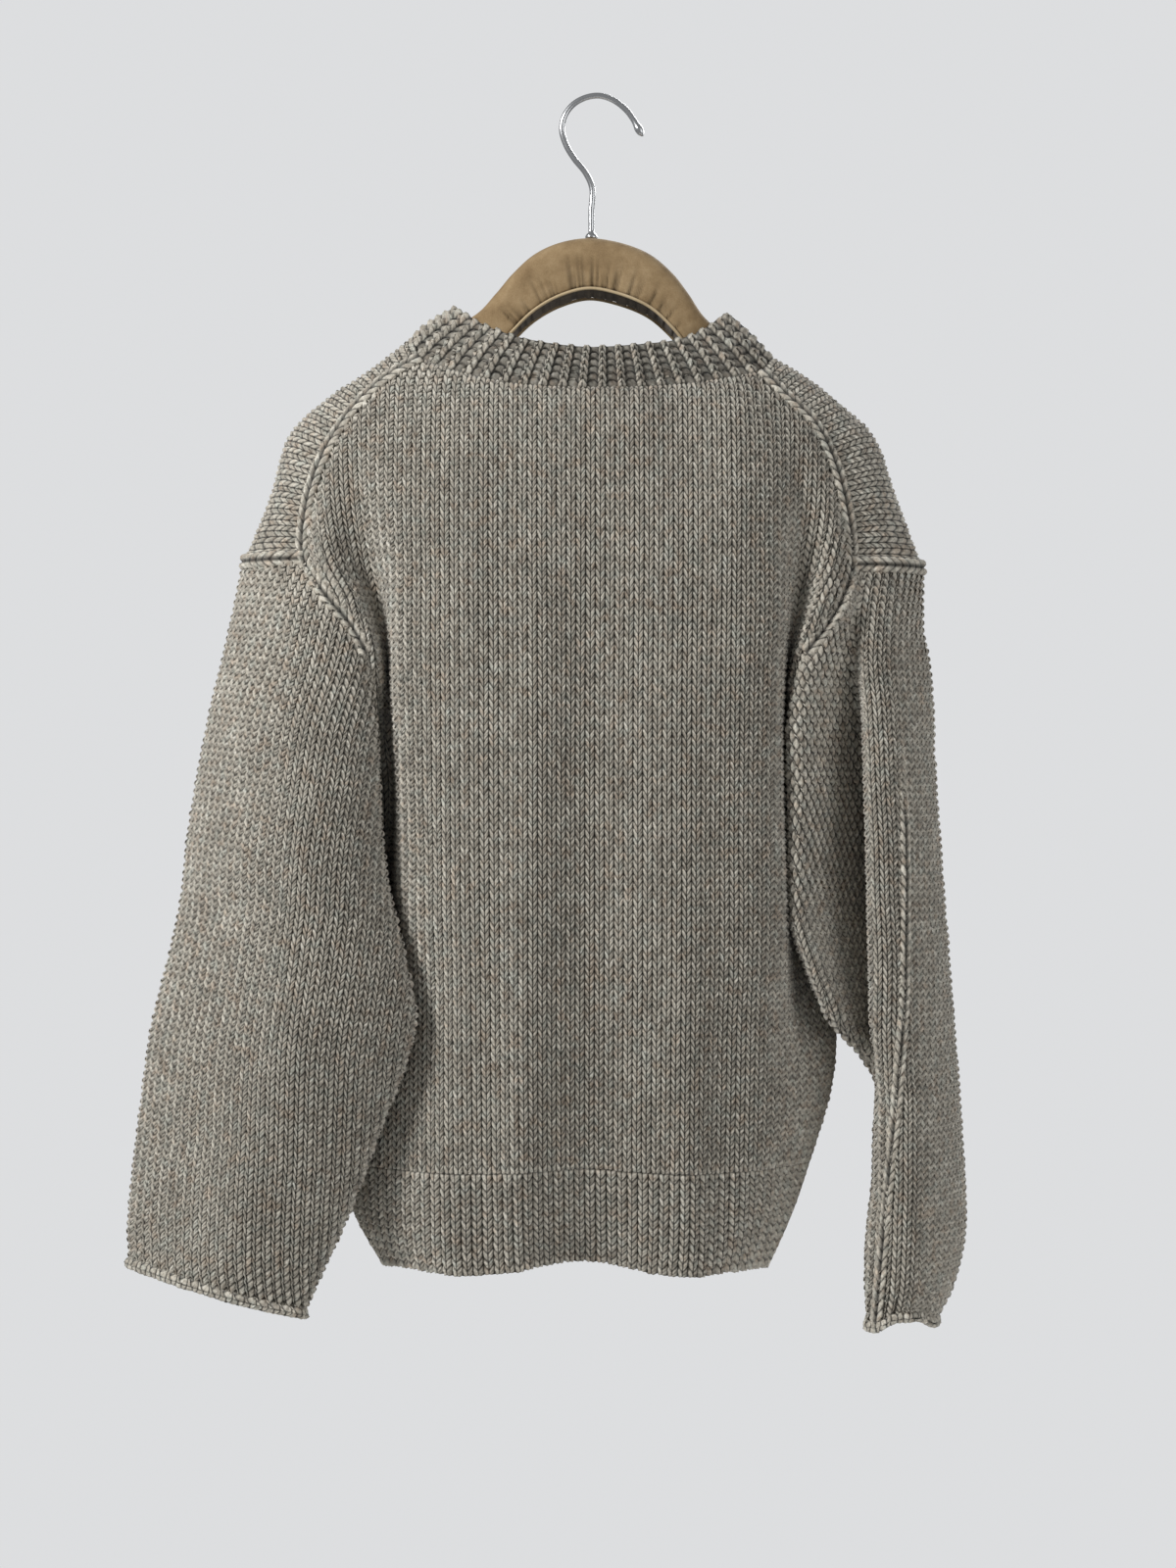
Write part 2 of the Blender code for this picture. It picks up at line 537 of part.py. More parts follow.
def rib_strip(name, rows, directions, count, rise, finish, sides):
    """A strip of ribbing: rows of points along it, with the wall's direction at each."""
    outer = np.array([spread(row, row, count) for row in rows])
    into = unit(np.array([spread(row, way, count) for row, way in zip(rows, directions)]))
    inner = outer + into * WALL
    outer[:, 1::2] -= into[:, 1::2] * rise
    for side in sides:
        pull_back(outer, inner, side)
    return wall(name, outer, inner, finish)


def hem_rib(name, panel, finish):
    """The ribbing below a panel, in the panel's own rows from the rib's top to the hem."""
    rows = panel.outer[RIB_TOP:HEM + 1]
    ways = panel.inward[RIB_TOP:HEM + 1]
    length = np.linalg.norm(np.diff(rows[0], axis=0), axis=1).sum()
    count = 2 * int(round(length / HEM_RIB_PAIR)) + 1
    rib_strip(name, rows, ways, count, HEM_RIB_RISE, finish, ("left", "right", "top"))


def build_body():
    """Back, fronts, saddles and sleeves, joined along their seams."""
    back = Panel(back_rows(), 1)
    left_edge = back.outer[:, 0]
    right_edge = back.outer[:, -1]
    front_left = Panel(front_rows(FRONT_LEFT, left_edge), -1)
    front_right = Panel(front_rows(FRONT_RIGHT, right_edge), 1)
    saddle_left = Panel(saddle_rows(left_edge, front_left.outer[:, 0], np.array(RIDGE_LEFT, float), -1), -1)
    saddle_right = Panel(saddle_rows(right_edge, front_right.outer[:, 0], np.array(RIDGE_RIGHT, float), 1), 1)
    sleeve_left = Panel(sleeve_rows(LEFT_SLEEVE_COLUMNS, LEFT_SLEEVE, ("inner", "back", "outer", "front"),
                                    LEFT_SLEEVE_SEGMENTS, left_edge, front_left.outer[:, 0]), -1)
    sleeve_right = Panel(sleeve_rows(RIGHT_SLEEVE_COLUMNS, RIGHT_SLEEVE,
                                     ("tip", "inner", "crease", "lip", "back", "outer", "front"),
                                     RIGHT_SLEEVE_SEGMENTS, right_edge, front_right.outer[:, 0]), 1,
                         FOLDED_WALL)
    for saddle, sleeve in ((saddle_left, sleeve_left), (saddle_right, sleeve_right)):
        reach = reach_along(sleeve.outer[0])
        sleeve.outer[0] = spread(saddle.outer[-1], saddle.outer[-1], shares=reach / reach[-1])
    join_sides(back, 0, front_left, saddle_left, sleeve_left)
    join_sides(back, -1, front_right, saddle_right, sleeve_right)
    for panel in (back, front_left, front_right):
        panel.level(RIB_TOP)
        panel.level(HEM)
    return back, front_left, front_right, saddle_left, saddle_right, sleeve_left, sleeve_right


def join_sides(back, column, front, saddle, sleeve):
    """Share the wall's direction along the seams of one side of the garment."""
    top = slice(0, SHOULDER_END)
    arm = slice(SHOULDER_END + 1, ARMPIT)
    arm_rows = slice(1, ARMPIT - SHOULDER_END)
    flank = slice(ARMPIT + 1, HEM + 1)
    back.share_edge((top, column), saddle, (top, 0))
    front.share_edge((top, 0), saddle, (top, -1))
    back.share_edge((arm, column), sleeve, (arm_rows, 0))
    front.share_edge((arm, 0), sleeve, (arm_rows, -1))
    back.share_edge((flank, column), front, (flank, 0))
    saddle.level(-1)
    sleeve.level(0)
    for panel, panel_column, end in ((back, column, 0), (front, 0, -1)):
        corner = panel.inward[SHOULDER_END, panel_column] + saddle.inward[-1, end] + sleeve.inward[0, end]
        corner = unit(corner * (1, 1, 0))
        panel.inward[SHOULDER_END, panel_column] = saddle.inward[-1, end] = sleeve.inward[0, end] = corner
    join_armpit(back, column, front, sleeve)


def join_armpit(back, column, front, sleeve):
    """Turn the walls up where body and sleeve part, and close the rings below."""
    row = ARMPIT - SHOULDER_END
    for ring in range(row, len(sleeve.outer)):
        both = unit(sleeve.inward[ring, 0] + sleeve.inward[ring, -1])
        sleeve.inward[ring, 0] = sleeve.inward[ring, -1] = both
    into_body = np.array([1.0 if column == 0 else -1.0, 0.0, 0.0])
    up = np.array([0.0, 0.0, 1.0])
    back.inward[ARMPIT, column] = front.inward[ARMPIT, 0] = unit(up + into_body)
    sleeve.inward[row, 0] = sleeve.inward[row, -1] = unit(up - into_body)
    sleeve.outer[row, 0] = sleeve.outer[row, -1] = sleeve.outer[row, 0] - ARMPIT_GAP * into_body


def bands(pieces, finish):
    """Neck band from peak to peak and the two front bands, on the edges of the pieces they trim."""
    back, front_left, front_right, saddle_left, saddle_right = pieces[:5]
    half = SADDLE_SEGMENTS // 2
    stretches = (
        (((front_left, np.s_[::-1, -1]), (saddle_left, np.s_[0, :half - 1:-1])),
         (BAND_PEAK_LEFT,) + BAND_LEFT_FRONT, True),
        (((saddle_left, np.s_[0, half::-1]), (back, np.s_[0, :]), (saddle_right, np.s_[0, :half + 1])),
         (BAND_PEAK_LEFT,) + BAND_BACK + (BAND_PEAK_RIGHT,), False),
        (((saddle_right, np.s_[0, half:]), (front_right, np.s_[:, -1])),
         (BAND_PEAK_RIGHT,) + BAND_RIGHT_FRONT, False),
    )
    low, high, base_way, counts = [], [], [], []
    for edges, route, backwards in stretches:
        base = np.vstack([panel.outer[pick] for panel, pick in edges])
        way = np.vstack([panel.inward[pick] for panel, pick in edges])
        free = smooth_curve(route[::-1] if backwards else route, (BAND_SEGMENTS,) * (len(route) - 1))
        length = np.linalg.norm(np.diff(base, axis=0), axis=1).sum()
        count = 2 * int(round(length / NECK_RIB_PAIR)) + 1
        joined = slice(0 if not low else 1, None)
        seam = spread(base, base, count)
        seam_way = spread(base, way, count)
        for panel, pick in edges:
            for point, direction in zip(panel.outer[pick][::len(panel.outer[pick]) - 1],
                                        panel.inward[pick][::len(panel.outer[pick]) - 1]):
                nearest = np.argmin(np.linalg.norm(seam - point, axis=1))
                seam[nearest] = point
                seam_way[nearest] = direction
        low.append(seam[joined])
        high.append(spread(free, free, count)[joined])
        base_way.append(seam_way[joined])
        counts.append(count)
    low, high = np.vstack(low), np.vstack(high)
    low += unit(high - low) * BAND_SEAM
    grid = np.array([low, (low + high) / 2, high])
    into = inward(grid, -1)
    into[0] = unit(np.vstack(base_way))
    into[1] = unit(into[0] + into[2])
    inner = grid + into * WALL
    outer = grid.copy()
    outer[:, 1::2] -= into[:, 1::2] * NECK_RIB_RISE
    first = counts[0] - 1
    second = first + counts[1] - 1
    for name, part in (("front_band_left", slice(0, first + 1)), ("neck_band", slice(first, second + 1)),
                       ("front_band_right", slice(second, None))):
        strip_outer, strip_inner = outer[:, part].copy(), inner[:, part].copy()
        for side in ("left", "right"):
            pull_back(strip_outer, strip_inner, side)
        wall(name, strip_outer, strip_inner, finish)


def hanger(saddles, finish):
    """The hanger: an arch at the neck, and shoulders just under the saddles that rest on it."""
    left, right = saddles
    sections = []
    for saddle, turn in ((left, 1), (right, -1)):
        half = SADDLE_SEGMENTS // 2
        under = saddle.outer[:, half] + saddle.inward[:, half] * (WALL + HANGER_CLEARANCE)
        arm = []
        for station, (height, half_depth, drop, short) in enumerate(HANGER_SHOULDER):
            x, _, z = under[station]
            arm.append((x + turn * short, z - drop, z - drop - height, half_depth))
        sections.append(arm)
    rows = sections[0][::-1] + list(HANGER_ARCH) + sections[1]
    rings = []
    for x, top, bottom, half_depth in rows:
        rings.append(hanger_ring(x, (top + bottom) / 2, (top - bottom) / 2, half_depth))
    for end, step in ((0, -1), (-1, 1)):
        x, top, bottom, half_depth = rows[end]
        tip_z = bottom + (top - bottom) / 3
        cap = hanger_ring(x + step * HANGER_TIP, tip_z, (top - bottom) / 4, half_depth / 2)
        rings.insert(0 if end == 0 else len(rings), cap)
    return tube("hanger", rings, finish)


def hanger_ring(x, middle_z, half_height, half_depth):
    """One upright section of the hanger: squarer than an oval at the arch, an oval in the shoulders."""
    fullness = ARCH_FULLNESS if abs(x) < ARCH_REACH else 1.0
    ring = []
    for i in range(HANGER_SIDES):
        angle = 2 * math.pi * i / HANGER_SIDES
        across = math.copysign(abs(math.cos(angle)) ** fullness, math.cos(angle))
        up = math.copysign(abs(math.sin(angle)) ** fullness, math.sin(angle))
        ring.append(np.array([x, across * half_depth, middle_z + up * half_height]))
    return ring


def hook(finish):
    """The wire hook with its collar and the ball at its tip, in the plane of the hanger."""
    route = np.array([(x, 0.0, z) for x, z, _ in HOOK])
    along_route = unit(np.gradient(route, axis=0))
    along_route[:COLLAR_ROWS] = (0, 0, 1)
    rings = []
    for (x, z, radius), way in zip(HOOK, along_route):
        side = np.array([way[2], 0.0, -way[0]])
        ring = []
        for i in range(WIRE_SIDES):
            angle = 2 * math.pi * i / WIRE_SIDES
            ring.append(np.array([x, 0.0, z]) + radius * (math.cos(angle) * side + [0, math.sin(angle), 0]))
        rings.append(ring)
    return tube("hook", rings, finish)


def main():
    clear_scene()
    knit = material("knit", (0.19, 0.17, 0.14), 0.95)
    rib = material("rib", (0.18, 0.16, 0.13), 0.95)
    cover = material("hanger_cover", (0.27, 0.19, 0.11), 0.85)
    steel = material("hook_steel", (0.65, 0.65, 0.66), 0.2, 1.0)
    pieces = build_body()
    back, front_left, front_right, saddle_left, saddle_right, sleeve_left, sleeve_right = pieces
    bands(pieces, rib)
    for name, panel in (("back", back), ("front_left", front_left), ("front_right", front_right)):
        hem_rib("hem_rib_" + name, panel, rib)
        panel.outer = panel.outer[:RIB_TOP + 1]
        panel.inward = panel.inward[:RIB_TOP + 1]
        panel.build(name, knit, ("left", "right", "top", "bottom"))
    for name, panel in (("saddle_left", saddle_left), ("saddle_right", saddle_right)):
        panel.build(name, knit, ("left", "right", "top", "bottom"))
    for name, panel in (("sleeve_left", sleeve_left), ("sleeve_right", sleeve_right)):
        cuff_roll(panel.outer, panel.inward)
        panel.build(name, knit, ("left", "right", "top"), ARMPIT - SHOULDER_END,
                    slice(0, ARMPIT - SHOULDER_END))
    hanger((saddle_left, saddle_right), cover)
    hook(steel)


main()
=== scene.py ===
"""Looks of the hand-knit cardigan on its hanger, seen from its back.

Sizes are in millimetres here and become metres when a mesh is made.
Every knitted piece is a fine grid that follows its wales and courses over the form of its solid.
"""
import math

import bmesh
import bpy
import numpy as np
from mathutils import Matrix


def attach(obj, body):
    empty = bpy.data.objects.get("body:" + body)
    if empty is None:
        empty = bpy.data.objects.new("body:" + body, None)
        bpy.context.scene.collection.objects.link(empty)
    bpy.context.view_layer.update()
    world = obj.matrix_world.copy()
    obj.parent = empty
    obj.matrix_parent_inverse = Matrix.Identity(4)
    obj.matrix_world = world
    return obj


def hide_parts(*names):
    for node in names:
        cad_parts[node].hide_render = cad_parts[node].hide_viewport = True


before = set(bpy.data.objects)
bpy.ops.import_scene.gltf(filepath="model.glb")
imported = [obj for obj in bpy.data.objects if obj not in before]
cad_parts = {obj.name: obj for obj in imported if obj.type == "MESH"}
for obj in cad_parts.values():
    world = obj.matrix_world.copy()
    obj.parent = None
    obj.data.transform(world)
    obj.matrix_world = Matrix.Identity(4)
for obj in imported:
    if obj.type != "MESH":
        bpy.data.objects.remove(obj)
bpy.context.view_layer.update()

MM = 0.001

# Cloth
WALL = 3.0
FOLDED_WALL = 2.0
BRAID_WALL = 1.8
EDGE_FADE = 2.5            # how near a seam the stitches sink to the wall's surface
IRREGULAR = 0.3            # how far hand knitting strays from its rows
SKEW_FADE = 2              # lattice rows over which the legs' slant fades in at a foot
LEVEL_REACH = 250.0        # above a piece's foot, where its courses have come level
PROBES = 24                # rows read between two rows of a table, to find the courses
LEVEL_ROUNDS = 20          # rounds in which the first closed ring's height above the foot is found
COURSE_SLACK = 0.1         # part of a course that may be left over at a piece's top
WALE_SLACK = 0.3           # part of a wale that a column may lie past a row's ends
STRAY_OUT = 0.7            # how much less stitches stray outwards than along their wale
INNER_ROWS = 3             # the plain inside keeps every so many rows of the form,
INNER_COLUMNS = 2          # and every so many columns
RIM_TURN = 0.4             # how far, in courses, the stitch map runs on over a rim

# Width of a wale or of a pair of rib wales, height of a course, and how far the yarn stands out
BODY_WALE = 6.75
BODY_COURSE = 5.3
BODY_RELIEF = 1.85
SLEEVE_WALE = 6.8
SADDLE_WALE = 8.6
SADDLE_RELIEF = 1.3
HEM_PAIR = 7.5
HEM_RELIEF = 1.7
NECK_PAIR = 14.4
NECK_RELIEF = 2.4
BAND_SWELL = 1.5
FLAP_DRIFT = 0.45          # how far the wales of the turned sleeve's flap run aside for each mm down
BRAID_WIDTH = 12.0
BRAID_COURSE = 7.6
BRAID_RELIEF = 1.5
BRAID_FADE = 0.8           # how near its sides a chain's stitches sink
BRAID_STEP = 5.0           # between the sections of a seam's chain
BRAID_FEWEST = 6           # sections of the shortest chain
BRAID_STOPS = 60           # points at which an armhole is read
# Across a chain: place in its width, and height
BRAID_SECTION = ((-0.5, 0.2), (-0.25, 2.3), (0.0, 2.2), (0.25, 2.3), (0.5, 0.2))
TURNED_WIDTH = 9.0
TURNED_SINK = 0.9          # how much lower the turned sleeve's seam stands
TURNED_RISE = 70.0         # length over which it comes up out of the knitting
TURNED_DEPTH = 4.0         # how deep it lies where it starts
SADDLE_END_WAY = (1, 1, 0.3)   # turns the chain at a saddle's end outwards rather than up
SEAM_FOOT = -400.0         # below it the armhole seams lie hidden in the folds under the arms
CUFF_RADIUS = 3.6
CUFF_OUT = 0.6
CUFF_UP = 2.2
CUFF_WALE = 8.0
CUFF_COURSE = 5.6
CUFF_RELIEF = 1.0
CUFF_SIDES = 20
CUFF_FADE = 0.01           # next to nothing, since a roll has no sides

# Profile across a wale: place, height, slant in courses, leg that it belongs to, height of a bar, and
# the way that the leg leans from its upper end
STOCKING = ((0.0, -0.65, -0.5, 0.0, 0.35, 0), (0.25, 1.0, 0.0, 0.5, 0.0, -1),
            (0.5, -0.65, 0.5, 1.0, 0.35, 0), (0.75, 1.0, 0.0, 1.5, 0.0, 1))
HEM_RIB = ((0.0, -1.5, -0.38, 0.0, 0.3, 0), (0.27, 1.0, 0.0, 0.5, 0.0, -1),
           (0.5, -0.4, 0.38, 1.0, 0.4, 0), (0.73, 1.0, 0.0, 1.5, 0.0, 1))
# The neck rib's purl columns sit at leg 2.1, near a leg's side, so the knit material's painted shade
# darkens the recess between the raised columns
NECK_RIB = ((0.0, -1.1, -0.3, 0.0, 0.2, 0), (0.11, 1.0, 0.0, 0.5, 0.0, -1), (0.22, 0.1, 0.35, 1.0, 0.2, 0),
            (0.33, 1.0, 0.0, 1.5, 0.0, 1), (0.44, -1.1, -0.3, 2.0, 0.1, 0), (0.6, -1.3, 0.15, 2.1, 0.75, 0),
            (0.84, -1.3, 0.15, 2.1, 0.75, 0))
BRAID = ((0.0, -0.6, -0.55, 0.0, 0.2, 0), (0.13, 0.8, -0.25, 0.3, 0.0, 0), (0.26, 1.0, 0.0, 0.6, 0.0, 0),
         (0.38, 0.8, 0.25, 0.85, 0.0, 0), (0.5, -0.8, 0.55, 1.0, 0.2, 0), (0.62, 0.8, 0.25, 1.15, 0.0, 0),
         (0.74, 1.0, 0.0, 1.4, 0.0, 0), (0.87, 0.8, -0.25, 1.7, 0.0, 0))
PURL = ((0.0, -0.6, 0.5, 0.0, 0.4, 0), (0.25, 0.9, 0.0, 0.5, 0.0, 0),
        (0.5, -0.6, -0.5, 1.0, 0.4, 0), (0.75, 0.9, 0.0, 1.5, 0.0, 0))
# Profile along a leg: place in the course, height, height of a bar there, and lean in wales
LEG = ((0.0, -0.15, 0.0, 0.0), (0.34, 0.95, 1.0, 0.08), (0.68, 1.0, 0.6, -0.08))
LEG_END = (0.0, 0.4, 0.0, 0.0)
RAISED = 0.5               # columns of a profile above this height carry the legs
SEEN_MARGIN = 0.08         # keeps the stitch map of the first and last row inside their courses, so a piece's border takes less of the painted shade at a course's end
# Seeds of the random draws, the first for each kind of piece
SEEDS = {"body": 10, "hem": 20, "saddle": 30, "sleeve": 40, "band": 50, "cuff": 60, "seam": 70, "cover": 5}

# Meshes: metres within which corners are joined, and the gap that keeps the plain grids of a piece
# apart until their points are placed
WELD = 2e-6
GRID_GAP = 4
# Bake map: width of the large grids, margin round each, and the start, reach and width of the rims
BAKE_LARGE = 0.94
BAKE_MARGIN = 0.002
RIM_START = 0.945
RIM_REACH = 0.05
RIM_WIDTH = 0.03

# Rows of the tables at which pieces start and end
SHOULDER_END = 5
ARMPIT = 12
SAG_START = 14
RIB_TOP = 15
HEM = 17

# Steps between the knots of a row, and how much finer than the solids the forms are read here
FINER = 4
BACK_SEGMENTS = (2, 3, 3, 5, 5, 3, 3, 2)
FRONT_SEGMENTS = (4, 7)
SADDLE_SEGMENTS = 8
LEFT_SLEEVE_SEGMENTS = (2, 5, 5, 5, 3)
RIGHT_SLEEVE_SEGMENTS = (3, 1, 4, 3, 2, 4, 5, 4)
BAND_STEPS = 9             # between the knots of a band's free edge
BAND_COLUMNS = 4           # columns of a band's form for each pair of its rib
SADDLE_STEPS = 8           # columns of a saddle's form between two stations
HEM_SAG = 7.0
BACK_BOW = 2.4
FOLD_GROWTH = 3            # stations over which the soft folds grow at the shoulders
FOLD_EDGE = 12             # how soon they fade in from the edges of a front

# Hanger
HANGER_CLEARANCE = 0.5
HANGER_SIDES = 64
HANGER_STEPS = 20
ARCH_REACH = 78
ARCH_X = -7.0
ARCH_Z = -222.0
CROWN_FULLNESS = 0.62      # below one: squarer than an oval
FOOT_FULLNESS = 0.25
ARCH_BLEND = 25            # length over which the arch's section turns into the arms'
HANGER_FINE = 8            # how much finer a section is drawn before it is evened
TIP_ROUND = 1.5            # how far the arms' tips stand out
WRINKLES = 64
WRINKLE_DEEPEST = 1.3
# Least and most of a wrinkle: its bearing and width in radians, its depth against the deepest, and
# the share of the section that it reaches up from the welt
WRINKLE_PLACES = (-0.75, 0.85)
WRINKLE_WIDTHS = (0.005, 0.012)
WRINKLE_DEPTHS = (0.3, 1.0)
WRINKLE_LENGTHS = (0.3, 0.75)
WRINKLE_STEEPNESS = 1.5    # how soon it comes to its full depth
UNDERSIDE = 0.94           # share of the way down where the painted shade on the underside begins
UNDERSIDE_BLEND = 0.05
WELT_RADIUS = 1.1
WELT_SIDES = 10
WELT_SHORT = 4             # how far the welts stop short of the arch's ends
WELT_SUNK = 0.5            # how deep they lie in the cover
WELT_RISE = 0.9            # how far above the underside they run
POINT_RADIUS = 0.01        # of a tube's closed end
WIRE_RADIUS = 2.1
WIRE_SIDES = 24
WIRE_STEPS = 8
BALL_END = (0.4, -0.6)     # step from the ball's last ring to its closed end

# Side of the back, one row a station from the neck corner to the hem. edge is the seam, lip the
# cloth drawn up beside it, crease the fold behind that, brow where the flat of the back begins.
BACK_COLUMNS = ("edge_x", "edge_y", "edge_z", "lip_x", "lip_y", "crease_x", "crease_y", "brow_x", "brow_y")
BACK_LEFT = (
    (-127, -28, -189, -121, -32, -110, -38, -86, -47),
    (-150, -34, -204, -144, -39, -132, -43, -102, -53),
    (-176, -38, -230, -169, -44, -154, -49, -118, -59),
    (-194, -41, -260, -184, -48, -166, -52, -128, -64),
    (-204, -42, -290, -190, -51, -170, -52, -133, -68),
    (-207, -40, -331, -190, -55, -163, -45, -137, -68),
    (-191, -55, -358, -172, -62, -156, -42, -139, -68),
    (-174, -60, -378, -163, -64, -152, -42, -139, -67),
    (-162, -60, -400, -156, -60, -149, -40, -139, -66),
    (-156, -47, -440, -153, -40, -148, -32, -139, -64),
    (-161, -28, -490, -155, -24, -148, -24, -138, -62),
    (-172, -13, -530, -162, -14, -149, -22, -136, -62),
    (-183, 0, -570, -173, -8, -152, -22, -131, -62),
    (-190, 5, -630, -182, -10, -156, -30, -124, -58),
    (-191, 5, -700, -182, -13, -156, -36, -122, -54),
    (-186, 0, -759, -177, -14, -155, -34, -123, -48),
    (-175, 0, -797, -167, -12, -148, -29, -118, -41),
    (-155, 0, -833, -148, -9, -132, -24, -105, -38),
)
BACK_RIGHT = (
    (114, -28, -198, 108, -32, 97, -38, 70, -47),
    (128, -34, -214, 121, -39, 110, -43, 86, -53),
    (150, -38, -236, 143, -44, 128, -49, 100, -59),
    (163, -41, -262, 153, -48, 137, -52, 108, -64),
    (172, -42, -296, 160, -51, 143, -52, 114, -68),
    (176, -40, -335, 163, -55, 142, -45, 119, -68),
    (169, -53, -361, 154, -62, 138, -42, 122, -68),
    (159, -58, -378, 147, -63, 136, -41, 122, -67),
    (143, -60, -400, 138, -58, 132, -38, 122, -66),
    (132, -50, -440, 131, -42, 129, -30, 122, -64),
    (139, -31, -490, 134, -25, 130, -24, 122, -62),
    (152, -14, -530, 143, -13, 133, -20, 123, -61),
    (165, 0, -570, 156, -1, 138, -12, 124, -61),
    (169, 6, -630, 161, 2, 142, -14, 119, -58),
    (167, 5, -700, 159, -12, 138, -34, 110, -54),
    (150, 0, -759, 142, -13, 124, -33, 98, -48),
    (137, 0, -797, 129, -11, 113, -28, 90, -41),
    (120, 0, -835, 113, -8, 100, -23, 80, -38),
)
# Middle of the back at the same stations
MIDDLE_COLUMNS = ("middle_x", "middle_y", "middle_z")
BACK_MIDDLE = (
    (-10, -57, -213), (-10, -61, -224), (-10, -66, -241), (-10, -69, -266), (-10, -72, -292),
    (-10, -76, -333), (-10, -77, -360), (-10, -78, -378), (-10, -79, -400), (-10, -80, -440),
    (-10, -80, -490), (-10, -80, -530), (-10, -79, -570), (-10, -75, -630), (-10, -67, -700),
    (-10, -57, -759), (-10, -46, -797), (-10, -34, -826),
)
# Soft vertical folds of the back: place at the shoulders and at the hem, width, height at both
BACK_FOLDS = (
    (-88, -100, 18, 2.0, 3.0),
    (-40, -58, 17, -1.5, 8.0),
    (5, 4, 20, 1.0, -7.0),
    (52, 62, 17, -2.0, 6.0),
    (92, 84, 14, 2.0, -2.0),
)

# Ridge of the shoulder, from the neck to the top of the sleeve, at the first stations
RIDGE_LEFT = (
    (-133, 0, -170), (-160, 0, -194), (-191, 1, -213), (-221, 2, -240), (-234, 2, -283), (-254, 0, -331),
)
RIDGE_RIGHT = (
    (124, 0, -186), (147, 0, -200), (173, 1, -220), (196, 2, -243), (210, 2, -281), (230, 0, -335),
)
# How far a saddle rounds out between its seams and the ridge, at the same stations: sideways, in
# depth and up
SADDLE_CROWN = ((2.5, 0, 4), (3.5, 0, 5), (4.8, 1, 5), (5.5, 4, 4), (5.5, 8, 2), (1, 11, 0))

# Front panels, hidden in the photograph. edge is the seam with saddle and sleeve, corner where the
# side turns into the front, inner the edge that carries the front band.
FRONT_COLUMNS = ("edge_x", "edge_y", "edge_z", "corner_x", "corner_y", "inner_x", "inner_y", "inner_z")
FRONT_LEFT = (
    (-127, 30, -189, -124, 33, -121, 34, -191),
    (-150, 36, -206, -134, 42, -115, 42, -225),
    (-176, 40, -232, -148, 50, -106, 50, -252),
    (-194, 43, -262, -158, 55, -98, 55, -281),
    (-203, 44, -292, -162, 58, -89, 59, -309),
    (-206, 40, -331, -166, 60, -76, 63, -347),
    (-196, 44, -358, -162, 60, -68, 64, -371),
    (-188, 46, -378, -158, 60, -63, 65, -390),
    (-180, 47, -400, -154, 60, -57, 66, -410),
    (-172, 42, -440, -150, 58, -49, 67, -445),
    (-174, 28, -490, -152, 54, -45, 68, -490),
    (-178, 14, -530, -158, 50, -45, 68, -530),
    (-183, 0, -570, -168, 40, -45, 67, -570),
    (-190, 5, -630, -172, 44, -45, 65, -630),
    (-191, 5, -700, -172, 46, -45, 62, -700),
    (-186, 0, -759, -168, 40, -45, 57, -759),
    (-175, 0, -797, -158, 36, -45, 50, -797),
    (-155, 0, -833, -140, 30, -45, 44, -833),
)
FRONT_RIGHT = (
    (114, 30, -198, 111, 33, 108, 34, -200),
    (128, 36, -216, 113, 42, 101, 42, -229),
    (150, 40, -238, 125, 50, 92, 50, -254),
    (163, 43, -264, 132, 55, 83, 55, -281),
    (172, 44, -298, 137, 58, 73, 59, -311),
    (180, 40, -335, 142, 60, 59, 63, -348),
    (176, 44, -361, 140, 60, 51, 64, -372),
    (170, 46, -378, 137, 60, 45, 65, -390),
    (163, 47, -400, 134, 60, 39, 66, -410),
    (152, 45, -440, 130, 58, 29, 67, -445),
    (152, 32, -490, 132, 54, 25, 68, -490),
    (157, 16, -530, 138, 50, 25, 68, -530),
    (165, 0, -570, 150, 40, 25, 67, -570),
    (169, 6, -630, 152, 44, 25, 65, -630),
    (167, 5, -700, 149, 46, 25, 62, -700),
    (150, 0, -759, 133, 40, 25, 57, -759),
    (137, 0, -797, 120, 36, 25, 50, -797),
    (120, 0, -835, 105, 30, 25, 44, -835),
)
# Soft folds of the fronts, and the height where they start with the length they take to grow
FRONT_FOLDS = (
    (-128, -112, 16, 2.0, 7.0),
    (-88, -72, 15, -1.5, -6.0),
    (66, 60, 15, -1.5, -6.0),
    (108, 88, 16, 2.0, 7.0),
)
FRONT_FOLD_TOP = -220
FRONT_FOLD_REACH = 600

# Free edge of the band: round the back neck from peak to peak, then down each front
BAND_PEAK_LEFT = (-103, 2, -148)
BAND_PEAK_RIGHT = (91, 2, -152)
BAND_BACK = ((-97, -14, -154), (-84, -29, -163), (-64, -42, -173), (-36, -49, -180), (-8, -51, -183),
             (26, -49, -181), (52, -42, -177), (71, -30, -169), (84, -14, -158))
BAND_LEFT_FRONT = ((-98, 18, -156), (-88, 38, -184), (-78, 52, -222), (-68, 60, -262), (-58, 65, -300),
                   (-46, 69, -342), (-34, 71, -382), (-20, 72, -432), (-14, 72, -475), (-14, 72, -530),
                   (-14, 71, -600), (-14, 68, -680), (-14, 63, -750), (-14, 56, -797), (-14, 50, -833))
BAND_RIGHT_FRONT = ((83, 18, -166), (73, 38, -191), (63, 52, -226), (53, 60, -264), (42, 65, -302),
                    (29, 69, -344), (16, 71, -383), (1, 72, -432), (-6, 72, -475), (-6, 72, -530),
                    (-6, 71, -600), (-6, 68, -680), (-6, 63, -750), (-6, 56, -797), (-6, 50, -838))

